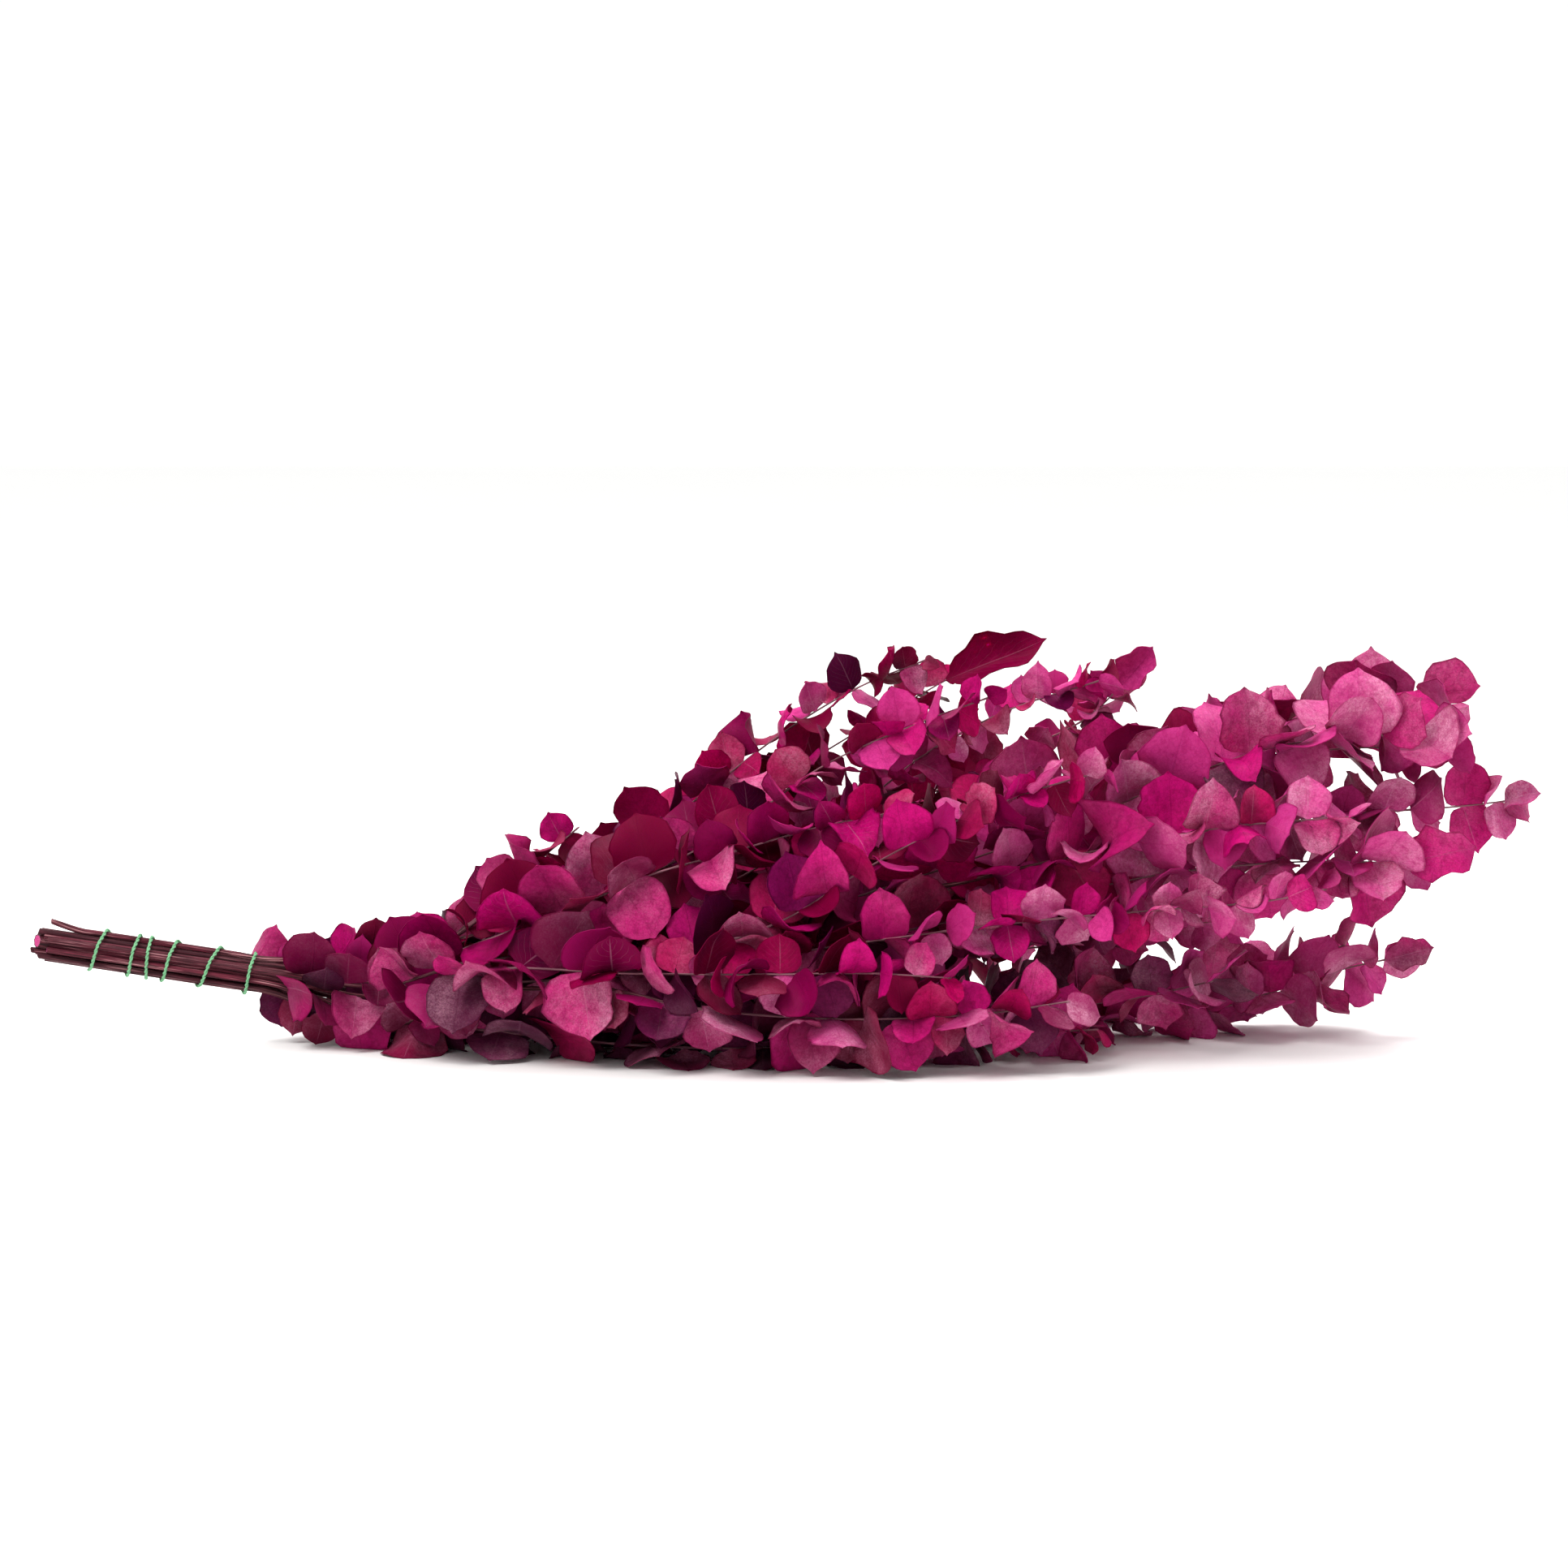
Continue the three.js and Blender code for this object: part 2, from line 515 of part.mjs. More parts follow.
function joined(geometries) {
  const mesh = geometries.map(solid).reduce((all, one) => all.add(one)).getMesh();
  const geometry = new THREE.BufferGeometry();
  geometry.setAttribute("position", new THREE.BufferAttribute(mesh.vertProperties, 3));
  geometry.setIndex(new THREE.BufferAttribute(mesh.triVerts, 1));
  return geometry;
}

// ---- The thread follows the tight line round the tied stems ----
function threadLine() {
  const circles = STEMS.map((stem) => ({ at: slotOffset(stem.slot), radius: stemRadius(stem) }));
  const held = THREAD + THREAD_GAP;
  const points = [];
  const place = (angle, x) => {
    const out = vec(0, Math.cos(angle), Math.sin(angle));
    const reach = (circle) => circle.at.dot(out) + circle.radius;
    const outer = circles.reduce((best, circle) => (reach(circle) > reach(best) ? circle : best));
    points.push(tieCentre(x).add(outer.at).addScaledVector(out, outer.radius + held));
  };
  const half = THREAD_TURN_STEPS / 2;
  THREAD_PASSES.forEach(([low, high], pass) => {
    for (let k = 0; k < half; k++) {
      place(-Math.PI / 2 - (Math.PI * k) / half, low + ((high - low) * k) / half);
    }
    if (pass + 1 === THREAD_PASSES.length) return;
    const following = THREAD_PASSES[pass + 1][0];
    for (let k = 0; k < half; k++) {
      place(Math.PI / 2 - (Math.PI * k) / half, high + ((following - high) * k) / half);
    }
  });
  return points;
}

class PolyLine extends THREE.Curve {
  constructor(points) {
    super();
    this.points = points;
  }

  getPoint(t, target = vec()) {
    const pieces = this.points.length - 1;
    const i = Math.min(Math.floor(t * pieces), pieces - 1);
    return target.lerpVectors(this.points[i], this.points[i + 1], t * pieces - i);
  }
}

// ---- Growing the bunch ----
// A shoot is a stretch of stem with leaves of its own: a stem's main one or a side branch.
// It keeps its full radius up to thinsFrom and then thins, at first fast, to its tip.
function finishShoot(shoot) {
  const total = lineLength(shoot.line);
  const thins = distanceAtX(shoot.line, shoot.thinsFrom);
  shoot.radius = (at) => {
    const share = Math.min(1, Math.max(0, (at - thins) / (total - thins)));
    return STEM_TIP + (shoot.full - STEM_TIP) * (1 - share) ** 2;
  };
  shoot.stations = leafStations(shoot);
  shoot.leaves = [];
  shoot.phase = phaseOf(shoot);
  return shoot;
}

// Rings along the bare stretch of a shoot.
function bareStops(shoot, from) {
  const stops = [];
  for (let at = from; at < shoot.stations[0].at - LEAST_STEP; at += BARE_STEP) stops.push(at);
  return stops;
}

function shootsOf(stem, index) {
  const thick = stem.slot < 0;
  const line = stemLine(stem);
  const main = finishShoot({
    ...stem, line, stem: index, number: index * 4, full: stemRadius(stem), thinsFrom: TIED_LENGTH,
    sides: thick ? THICK_SIDES : STEM_SIDES,
  });
  const bends = (stem.lift ? LIFTED : []).map((x) => distanceAtX(line, x));
  main.bareStops = [0, ...bends, ...bareStops(main, distanceAtX(line, TIED_LENGTH))];
  const branches = (stem.shoots ?? []).map((shoot, k) => {
    const start = along(line, main.stations[shoot.from].at + BRANCH_PAST_PAIR);
    const route = [start.point, ...shoot.route.map((p) => vec(...p))];
    const branch = finishShoot({
      ...shoot, line: smoothLine(route), stem: index, number: index * 4 + k + 1,
      full: BRANCH, thinsFrom: route[1].x, sides: STEM_SIDES,
    });
    branch.bareStops = bareStops(branch, 0);
    return branch;
  });
  return [main, ...branches];
}

function hangLeaf(shoot, index, side, placed) {
  const pairName = `pair ${shoot.number} ${index}`;
  for (let attempt = 0; attempt < ATTEMPTS; attempt++) {
    const form = leafForm(shoot, index, side, attempt);
    const blade = form && clearBlade(form, placed, `stem ${shoot.stem}`, pairName);
    if (blade) {
      placed.push(blade);
      shoot.leaves.push(form);
      return;
    }
  }
}

// Leaves go on from the tips inward, one pair of every shoot at a time.
function growLeaves(shoots) {
  const placed = lineObstacles(threadLine(), () => THREAD, "thread");
  for (const shoot of shoots) {
    placed.push(...lineObstacles(shoot.line, shoot.radius, `stem ${shoot.stem}`));
  }
  const mostPairs = Math.max(...shoots.map((shoot) => shoot.stations.length));
  for (let back = 1; back <= mostPairs; back++) {
    for (const shoot of shoots.filter(({ stations }) => stations.length >= back)) {
      hangLeaf(shoot, shoot.stations.length - back, 0, placed);
      hangLeaf(shoot, shoot.stations.length - back, 1, placed);
    }
  }
}

function leafyStem(shoots, index) {
  const geometries = shoots.filter((shoot) => shoot.stem === index).map(shootGeometry);
  const mesh = new THREE.Mesh(joined(geometries), leafyMaterial(index));
  mesh.name = `leafy_stem_${String(index + 1).padStart(2, "0")}`;
  return mesh;
}

function bindingThread() {
  const points = threadLine();
  const corners = Array.from({ length: THREAD_SIDES }, (_, k) => {
    const angle = (2 * Math.PI * k) / THREAD_SIDES;
    return new THREE.Vector2(Math.cos(angle), Math.sin(angle)).multiplyScalar(THREAD);
  });
  const steps = points.length - 1;
  const options = { steps, extrudePath: new PolyLine(points) };
  const made = new THREE.ExtrudeGeometry(new THREE.Shape(corners), options);
  made.deleteAttribute("normal");
  made.deleteAttribute("uv");
  const mesh = new THREE.Mesh(mergeVertices(made, 1e-3), threadMaterial());
  mesh.name = "binding_thread";
  return mesh;
}

const shoots = STEMS.flatMap(shootsOf);
growLeaves(shoots);
const group = new THREE.Group();
STEMS.forEach((_, index) => group.add(leafyStem(shoots, index)));
group.add(bindingThread());
group.position.set(-FOOTPRINT_CENTRE.x, -FOOTPRINT_CENTRE.y, 0);

export default group;
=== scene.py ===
"""A tied bunch of preserved eucalyptus on its side: the finished surfaces round its frame.

The stems' routes and the way each leaf hangs repeat those of the frame. They count in
millimetres, X from the cut ends and Y from the middle of the tie, and turn to metres, with
the frame's own origin, where a mesh is made.
"""

import json
import math

import bpy
import numpy as np
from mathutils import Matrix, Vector
from mathutils.bvhtree import BVHTree
from mathutils.kdtree import KDTree


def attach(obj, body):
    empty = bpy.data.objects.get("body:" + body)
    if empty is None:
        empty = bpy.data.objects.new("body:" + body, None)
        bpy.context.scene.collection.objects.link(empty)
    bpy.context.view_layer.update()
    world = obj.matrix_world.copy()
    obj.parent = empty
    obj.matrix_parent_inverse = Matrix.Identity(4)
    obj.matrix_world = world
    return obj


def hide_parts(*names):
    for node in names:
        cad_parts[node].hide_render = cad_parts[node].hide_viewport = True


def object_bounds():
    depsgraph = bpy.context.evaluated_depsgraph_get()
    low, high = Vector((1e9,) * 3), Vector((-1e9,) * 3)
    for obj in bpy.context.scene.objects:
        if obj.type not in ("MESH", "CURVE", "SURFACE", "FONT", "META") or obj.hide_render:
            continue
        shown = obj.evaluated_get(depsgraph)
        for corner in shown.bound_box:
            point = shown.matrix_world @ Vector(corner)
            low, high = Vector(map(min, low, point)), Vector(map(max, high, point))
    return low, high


MM = 0.001

# ---- The frame's own numbers, mm ----
FOOTPRINT_CENTRE = np.array([352.3, 6.8, 0.0])
TIE_HEIGHT, TIE_FALL, TIED_LENGTH = 50.2, 0.152, 112.0
SPREAD_X, SPREAD = 165.0, 2.4
THICK_STEM, THIN_STEM, BRANCH, STEM_TIP = 3.4, 1.4, 1.1, 0.6
STEM_GAP, INNER_RING = 0.38, 10
LIFTED = [24, 29]
BRANCH_PAST_PAIR = 5.0
BLADE = 0.8
LEAF_PITCH, TIP_PITCH, LAST_PITCH = 36.0, 0.65, 2.5
ATTEMPTS = 48
DEEPEST_PRESS, PRESSED_CORNERS = 9.0, 3
LINE_STEPS = 10
STRAIGHT_SHARE = 0.85
ROUND_LEAF = 0.5
ROOT_HALF = 0.5
BUNCH_AXIS = {"height": 22.0, "rise": 0.13}
SIZE = {"root": 0.8, "swell": 0.2, "waves": 1.4, "tip": 0.6}
STRAY = {"turn": 24, "open": 13, "face": 0.35, "length": 0.08, "width": 0.1}
OPEN = {"shown": 18, "tip": 26, "least": 52, "more": 20}
BEND = {"curl": 0.22, "cup": 0.12, "least_cup": 0.05, "twist": 0.18}
RETRY = {"wider": 1 / 16, "smaller": 0.008, "smallest": 0.72}
LEAST_OUTWARD = 0.15
MOST_SHOWN = 0.9
TIP_SLIM = 0.8
PHASE, FRONT = 45.0, 180.0
HASH = {"start": 2166912323, "prime": 16777619}  # the start was picked for the outline it gives
ROW = {"times": 1664525, "plus": 1013904223, "range": 2**32}
CORNERS = [(0.2, -0.82), (0.62, -0.92), (1, 0), (0.62, 0.92), (0.2, 0.82)]
THREAD_PASSES = [(27, 36), (45, 51.5), (54, 57), (61, 69), (78, 89), (100, 106)]

STEMS = [
    dict(slot=2, butt=5, leafy=205, leaf=27, route=[(232, 8, 60), (276, 14, 85), (320, 16, 121),
         (359, 18, 150), (390, 20, 168), (420, 22, 180)]),
    dict(slot=1, butt=6, leafy=200, leaf=29, last=51, last_slim=0.45, route=[(240, 26, 60),
         (298, 36, 90), (359, 44, 126), (401, 50, 151), (431, 54, 168)]),
    dict(slot=12, butt=10, lift=2.6, leafy=175, leaf=31, route=[(222, -22, 59),
         (283, -30, 81), (334, -34, 109), (372, -36, 136), (416, -38, 156), (448, -40, 168)]),
    dict(slot=3, butt=4, leafy=170, leaf=29, slim=0.8, route=[(230, -4, 48), (302, -10, 66),
         (352, -12, 92), (394, -12, 119), (419, -14, 139), (458, -16, 160), (500, -20, 174)]),
    dict(slot=10, butt=3, leafy=104, leaf=31, slim=0.85, last=29, route=[(230, 36, 42),
         (314, 54, 67), (397, 62, 100), (462, 62, 131), (498, 58, 149), (514, 56, 164)]),
    dict(slot=0, butt=8, leafy=190, leaf=39, tip=0.85, route=[(230, 16, 40), (329, 22, 63),
         (435, 26, 97), (530, 28, 133), (595, 26, 152), (630, 24, 160), (654, 20, 164)],
         shoots=[dict(past=8, leafy=520, leaf=37, tip=0.8, route=[(496, 22, 113), (530, 14, 124),
                 (570, 6, 133), (612, 2, 140), (650, 0, 141)])]),
    dict(slot=14, butt=9, leafy=165, leaf=32, route=[(215, -44, 47), (291, -62, 50),
         (350, -70, 67), (390, -72, 92), (432, -70, 114), (469, -66, 128), (500, -60, 136)]),
    dict(slot=4, butt=7, leafy=132, leaf=35, route=[(210, -31, 52), (260, -48, 73),
         (294, -54, 88), (329, -56, 98), (370, -58, 110), (400, -58, 116)],
         shoots=[dict(past=1, leafy=206, leaf=27, route=[(214, -32, 66), (226, -33, 78),
                 (241, -31, 92), (258, -28, 106)])]),
    dict(slot=5, butt=10, leafy=170, leaf=38, tip=0.8, route=[(222, -14, 38), (314, -24, 52),
         (405, -30, 80), (492, -34, 111), (530, -34, 127), (580, -30, 144), (625, -26, 149),
         (662, -22, 149)],
         shoots=[dict(past=7, leafy=450, leaf=33, route=[(425, -38, 80), (470, -50, 92),
                 (520, -58, 104), (570, -62, 112), (612, -62, 115)])]),
    dict(slot=-1, butt=3, leafy=230, leaf=36, route=[(230, 0, 34), (329, 0, 48), (443, -4, 77),
         (538, -8, 102), (621, -10, 111), (665, -10, 114), (690, -12, 117)]),
    dict(slot=6, butt=8, leafy=124, leaf=37, last=42, tip=0.85, route=[(222, -24, 31),
         (329, -40, 44), (443, -48, 68), (526, -50, 87), (595, -48, 93), (638, -46, 92)]),
    dict(slot=16, butt=4, leafy=130, leaf=27, route=[(215, -44, 34), (291, -66, 43),
         (386, -78, 59), (461, -80, 69), (519, -78, 74), (574, -74, 78), (600, -72, 83)]),
    dict(slot=9, butt=4, leafy=180, leaf=25, route=[(230, 22, 26), (329, 36, 34),
         (443, 44, 47), (526, 44, 53), (568, 42, 52)]),
    dict(slot=15, butt=9, leafy=120, leaf=33, route=[(210, -54, 43), (287, -84, 46),
         (340, -94, 47), (395, -98, 48), (428, -98, 46)],
         shoots=[dict(past=2, leafy=290, leaf=33, route=[(270, -78, 38), (314, -84, 30),
                 (382, -90, 26), (446, -92, 29), (482, -90, 34)])]),
    dict(slot=8, butt=0, leafy=126, leaf=33, last=27, tip=0.8, route=[(215, 4, 17),
         (314, 10, 10), (405, 16, 8), (481, 22, 9), (553, 28, 12), (590, 32, 22), (622, 34, 32),
         (640, 34, 36)],
         shoots=[dict(past=9, leafy=525, leaf=31, tip=0.75, route=[(505, 30, 14), (545, 44, 21),
                 (585, 52, 30), (622, 54, 40)]),
                 dict(past=8, leafy=455, leaf=31, tip=0.85, route=[(455, 6, 14), (490, -8, 20),
                 (525, -20, 27), (552, -26, 34)])]),
    dict(slot=7, butt=2, leafy=120, leaf=35, route=[(200, -26, 13), (276, -46, 8),
         (348, -54, 7), (426, -50, 11), (498, -42, 14)]),
    dict(slot=17, butt=7, leafy=124, leaf=33, route=[(215, 30, 12), (298, 52, 7), (386, 66, 6),
         (462, 72, 7), (522, 72, 10)]),
    dict(slot=19, butt=3, leafy=112, leaf=35, route=[(215, 46, 30), (298, 78, 38),
         (386, 94, 55), (462, 98, 70), (522, 94, 84)],
         shoots=[dict(past=2, leafy=275, leaf=33, route=[(250, 66, 50), (329, 80, 76),
                 (405, 88, 100), (460, 86, 118)])]),
    dict(slot=18, butt=5, leafy=122, leaf=35, route=[(215, 46, 18), (298, 80, 14),
         (386, 102, 22), (469, 108, 31), (532, 104, 38)]),
]

# ---- The finished leaves ----
MATCH = 0.05  # a leaf's tip is this near to the frame's own, mm
THICKNESS = 0.5  # of a finished leaf, mm
RIM_THINNER, RIM_POWER = 0.45, 4  # how much of that its rim lacks, and how fast it gets thinner
RIB, RIB_WIDTH = 0.35, 0.05  # how far the midrib stands out underneath at the root, mm; its width
LOWEST = 0.05  # of a leaf's points above the surface that it lies on, mm
TOUCH = 0.35  # least gap between two leaves where they are tested, mm
NEAR_ROOT = 0.16  # a leaf may be near its own stem over this share of its length
LIVELY = [1.0, 0.6, 0.3, 0.0]  # shares of a leaf's own waves, tried until it is clear

# Half of a leaf's outline, with a drawn-out tip and with a round one: share of its length,
# share of its half width.
POINTED = [(0.0, 0.05), (0.03, 0.07), (0.045, 0.24), (0.07, 0.50), (0.15, 0.79), (0.28, 0.96),
           (0.43, 1.0), (0.60, 0.93), (0.745, 0.70), (0.85, 0.40), (0.91, 0.18), (0.95, 0.07),
           (1.0, 0.012)]
ROUND = [(0.0, 0.05), (0.03, 0.07), (0.04, 0.26), (0.06, 0.52), (0.14, 0.81), (0.27, 0.97),
         (0.44, 1.0), (0.62, 0.96), (0.78, 0.80), (0.88, 0.56), (0.94, 0.26), (0.965, 0.09),
         (1.0, 0.015)]
OUTLINE_STEPS = 160
TIP_ROWS = 0.3  # how much closer together the rows are at the tip
ROWS = 14  # of points along a leaf
ACROSS = [-1.0, -0.94, -0.77, -0.52, -0.26, 0.0, 0.26, 0.52, 0.77, 0.94, 1.0]
COLUMNS = len(ACROSS)
COUNT = ROWS * COLUMNS
COARSE_ROWS = [2, 5, 7, 9, 10, 11, 12, 13]  # the points that stand for a leaf among others
COARSE_COLUMNS = [0, 2, 5, 8, 10]
FULL_TURN = 2 * math.pi

LEAF_LOOK = {  # what sets leaves apart, each drawn between two numbers, in this order
    "widest": (-0.16, 0.14), "pointed": (0, 1), "lobes": (0, 0.09), "skew": (-0.12, 0.12),
    "sickle": (-0.07, 0.07), "edge": ((1.2, 3.4), (0, FULL_TURN), (0.02, 0.06)),
    "nicks": ((4.5, 6.5), (0, FULL_TURN), (0, 0.035)), "fold": (-0.05, 0.20),
    "waves": (0.9, 2.3), "wave": (0.012, 0.045), "phases": ((0, FULL_TURN), (0, FULL_TURN)),
    "tip_curl": (-0.18, 0.18), "roll": (-0.12, 0.20), "roll_side": (0, 1),
    "dents": (((0.15, 0.85), (-0.7, 0.7), (-0.025, 0.025)),) * 4}
CURLED_SHARE = 0.33  # of the leaves are folded and curled up in drying
CURLED_FOLD = 0.18  # how much more these are folded
CURLED = {"wave": 1.6, "tip_curl": 2.2, "roll": 1.8}  # how many times as much they have of these
SHOWN_LOOK = {  # of the leaves at a tip that show their faces in front: wavy, narrow at the root
    "slim": 0.8, "widest": 0.30, "pointed": 0.8, "lobes": 0.0, "skew": 0.10, "sickle": 0.06,
    "edge": (2.1, 0.6, 0.20), "nicks": (5.0, 1.0, 0.03), "fold": 0.10, "waves": 1.7,
    "wave": 0.08, "phases": (0.4, 2.6), "tip_curl": 0.12, "roll": 0.1, "roll_side": 1,
    "dents": [(0.35, 0.3, 0.02), (0.7, -0.3, -0.02)]}

ROOT_IN = 0.5  # share of the stem's radius at which a leaf starts
# Where a leaf's forms begin or end, in shares of its length or half width, and how they grow.
LOBE_END, EDGE_LEAN, WAVE_POWER = 0.32, 2, 2.5
FOLD_ROUND, FOLD_LEVEL, FOLD_REACH = 0.012, 0.11, 1.1
TIP_CURL_FROM, TIP_CURL_GAIN, ROLL_FROM = 0.55, 3, 0.25
DENT_SLIM, DENT_AREA = 0.6, 0.02
FLAT_GAP, FLAT_LIFT, FLAT_ROOT, FLAT_POWER = 0.12, 0.6, 0.25, 1.5  # of leaves that lie flat
SOFT_GAP, SOFT_OVER = 0.1, 0.9  # how other leaves bend away from the surface, mm
MOST_RISE, FREE_RISE = 30, 25  # heights, over that bend, where it is cut off and has no effect

# ---- The added leaves ----
EXTRAS = [  # more leaves beyond each pair: share of the way to the next, turn, size
    (0.5, 45, 1.0), (0.25, 100, 0.88), (0.75, 10, 0.85)]
EXTRA_ATTEMPTS = 36
EXTRA_FACING = 0.55  # how far, at least, these leaves turn their faces outward
ASIDE, MIDDLE_Y = 1.1, 25.0  # how far to the front or back as well, on either side of this Y
BEFORE_PITCH = 16.0  # between the leaves on the stretch before a stem's first pair
BEFORE_BACK, BEFORE_FRONT = 118.0, 138.0  # X where that stretch starts, behind and in front
BEFORE_SIZE, BEFORE_TURN = 0.9, 90
SMALLER_SIZE = 0.7  # of a leaf in a place that the frame had to leave empty
GAPS = [  # between the stems, which more leaves leave open: X from, to, height from, to
    (572.0, 612.0, 46.0, 72.0), (612.0, 645.0, 58.0, 76.0), (367.0, 380.0, 137.0, 156.0),
    (450.0, 482.0, 138.0, 160.0), (662.0, 672.0, 108.0, 128.0)]
# Keys that keep the draws of different leaves, and of different things about one, apart.
EXTRA_KEY, TURN_KEYS, EMPTY_KEY, BEFORE_KEY = 500, 100, 900, 1000
LOOK_DRAWS, TONE_DRAWS, KIND_DRAWS, STEM_DRAWS = 977, 613, 211, 311

# ---- How colours follow where a leaf is ----
FAR_FROM, FAR_OVER = 340.0, 260.0  # X where leaves begin to get lighter, and over how far
NEAR_BELOW, NEAR_OVER = 300.0, 150.0  # X below which leaves get darker, and over how far
LOW_BELOW, LOW_OVER = 50.0, 35.0  # height below which leaves get dustier, and over how far
HIGH_FROM, HIGH_OVER = 50.0, 50.0  # height where leaves get redder, and over how far
# What goes into a leaf's tone and its dust, by region. The tone is lighter far out and darker
# near the tie and low down: partly the leaves' own colour, partly painted light and painted
# shade.
TONE = {"drawn": 0.95, "far": 0.32, "near": 0.16, "low": 0.15}
DUST = {"power": 1.7, "least": 0.45, "tone": 0.60, "far": 0.26, "low": 0.30, "low_far": 0.6,
        "high": 0.12}
MAGENTA, CRIMSON, PINK, PLUM = 0.35, 0.35, 0.06, 0.10  # how often each kind of colour comes
CRIMSON_HIGH, PINK_FAR, PLUM_LOW = 0.5, 0.9, 0.35  # how much more often in such places
OWN_KIND = 0.45  # how much more often a leaf has its stem's own kind of colour

# ---- The finished stems, mm ----
STEM_RING = 4.0  # between the rings of a stem
THIN_RIDGES, THICK_RIDGES = 5, 9
RIDGE = 0.07  # height of a stem's ridges against its radius
SLENDER, SLENDER_OVER = 0.36, 60.0  # how much thinner than the frame's it gets, over this length
NODE_SWELL, NODE_LENGTH = 0.45, 1.6  # how a stem swells where leaves leave it
CUT_SLOPE, CUT_SLOPE_THICK = 0.5, 0.55  # how slanting the stems are cut
CUT_RINGS = [1.0, 0.86, 0.5, 0.2]  # of the cut end, in shares of the stem's own
PITH_DEPTH = 0.5
BUD_LENGTH = 1.6
BUD_WIDTH, BUD_SHOULDER = 0.7, 0.6  # of the ring before its tip, and how far along that is
YOUNG_RIDGE = 0.6  # share of the ridges beyond twice the length that keeps its thickness
OVAL, OVAL_PITCH, WARP, WARP_PITCH = 0.05, 23, 0.03, 11  # how unround stems are, and its pitch
ANY_TURN = 6.3  # radians, about a full turn
OBSTACLE_RING, OBSTACLE_SIDES = 8, 6  # of the rods that stand for stems among leaves
STEM_UV, THREAD_UV = 100, 10  # millimetres to one unit along

# ---- The thread, mm ----
THREAD_HALF_TURN = 24  # pieces in half a turn
THREAD_HELD = 0.95  # from its middle line to the stems, which it binds tightly
PLIES, PLY, PLY_OFFSET, PLY_PITCH = 2, 0.48, 0.38, 6.0
PLY_RING, PLY_SIDES = 0.6, 8

# ---- Colours: shaded, lit, plum and dusty for each kind of foliage ----
# The first two colours of each kind, its darker and lighter end, are painted shade and painted
# light as well as the leaves' own spread of dye.
FOLIAGE = {
    "foliage_magenta": ((0.115, 0.0004, 0.029), (0.415, 0.003, 0.124), (0.036, 0.001, 0.016),
                        (0.550, 0.215, 0.340)),
    "foliage_crimson": ((0.110, 0.0003, 0.019), (0.370, 0.001, 0.076), (0.032, 0.001, 0.011),
                        (0.450, 0.140, 0.235)),
    "foliage_pink": ((0.230, 0.003, 0.070), (0.500, 0.030, 0.203), (0.100, 0.005, 0.045),
                     (0.600, 0.260, 0.390)),
    "foliage_plum": ((0.042, 0.0005, 0.016), (0.170, 0.003, 0.066), (0.016, 0.001, 0.010),
                     (0.290, 0.122, 0.180)),
}
BARK_DARK, BARK_LIGHT = (0.009, 0.0006, 0.002), (0.14, 0.012, 0.030)
BARK_PALE = (0.46, 0.21, 0.23)
YOUNG_DARK, YOUNG_LIGHT = (0.060, 0.010, 0.022), (0.34, 0.14, 0.18)
WOOD_DARK, WOOD_LIGHT = (0.24, 0.004, 0.070), (0.60, 0.030, 0.240)
THREAD_DARK, THREAD_LIGHT = (0.07, 0.25, 0.11), (0.20, 0.44, 0.24)
THREAD_PALE = (0.38, 0.60, 0.42)
FLOOR_COLOUR, FLOOR_OTHER = (0.97, 0.97, 0.96), (0.955, 0.955, 0.945)

PATTERNS = {  # scale, detail, roughness, distortion
    "clouds": (38.0, 2.0, 0.5, 0.0), "stains": (26.0, 3.0, 0.5, 0.4),
    "powder": (1300.0, 4.0, 0.7, 0.0), "drifts": (110.0, 3.0, 0.6, 0.0),
    "grain": (800.0, 3.0, 0.75, 0.0), "mottle": (250.0, 4.0, 0.65, 0.6),
    "wander": (160.0, 1.0, 0.5, 0.0), "fibres": (2.2, 5.0, 0.65, 0.0),
    "streaks": (1.1, 3.0, 0.6, 0.0), "year_rings": (700.0, 2.0, 0.5, 0.0),
    "wood_grain": (2600.0, 3.0, 0.5, 0.0), "strands": (1.6, 3.0, 0.6, 0.0),
    "fuzz": (2400.0, 2.0, 0.5, 0.0), "floor": (3.0, 2.0, 0.5, 0.0),
}
NET_SCALE = 560.0
# How much of their own colour these have at most.
VEINS_SHOW, LATERALS_SHOW, NET_SHOWS, RIM_SHOWS, STREAKS_SHOW = 0.2, 0.55, 0.22, 0.5, 0.75
# Where grain and mottle set in and are full, and their least and most.
GRAIN_ENDS, MOTTLE_ENDS = (0.50, 0.75, 0.0, 0.45), (0.42, 0.66, 0.0, 0.42)

# ---- The studio, metres ----
FLOOR_HALF = 6.0
WORLD_STRENGTH = 1.02
LAMP_COLOUR = (1.0, 0.985, 0.97)
SOFTBOXES = {  # place, target, size, watts
    "key": ((-0.9, -1.3, 1.7), (0, 0, 0.08), (1.0, 1.0), 40.0),
    "top": ((0.3, 0.4, 1.9), (0, 0, 0.05), (1.4, 0.9), 30.0),
}
SENSOR = 36.0
VIEW_DISTANCE, VIEW_WIDTH = 2.5, 0.7342  # camera to the bunch, and what the picture spans there
VIEW_ELEVATION = 6.0
VIEW_TARGET = (0.0015, -0.0068, 0.1238)


# ---- Seeded draws: the same keys always give the same row of numbers from 0 to 1 ----
def draws(*keys):
    state = HASH["start"]
    for key in keys:
        state = (state ^ (key + 1)) * HASH["prime"] % ROW["range"]

    def following():
        nonlocal state
        state = (state * ROW["times"] + ROW["plus"]) % ROW["range"]
        return state / ROW["range"]

    following()
    following()
    return following


# ---- Lines ----
def vec(*numbers):
    return np.array(numbers, float)


def unit(v):
    return v / math.sqrt(v @ v)


UP = vec(0, 0, 1)


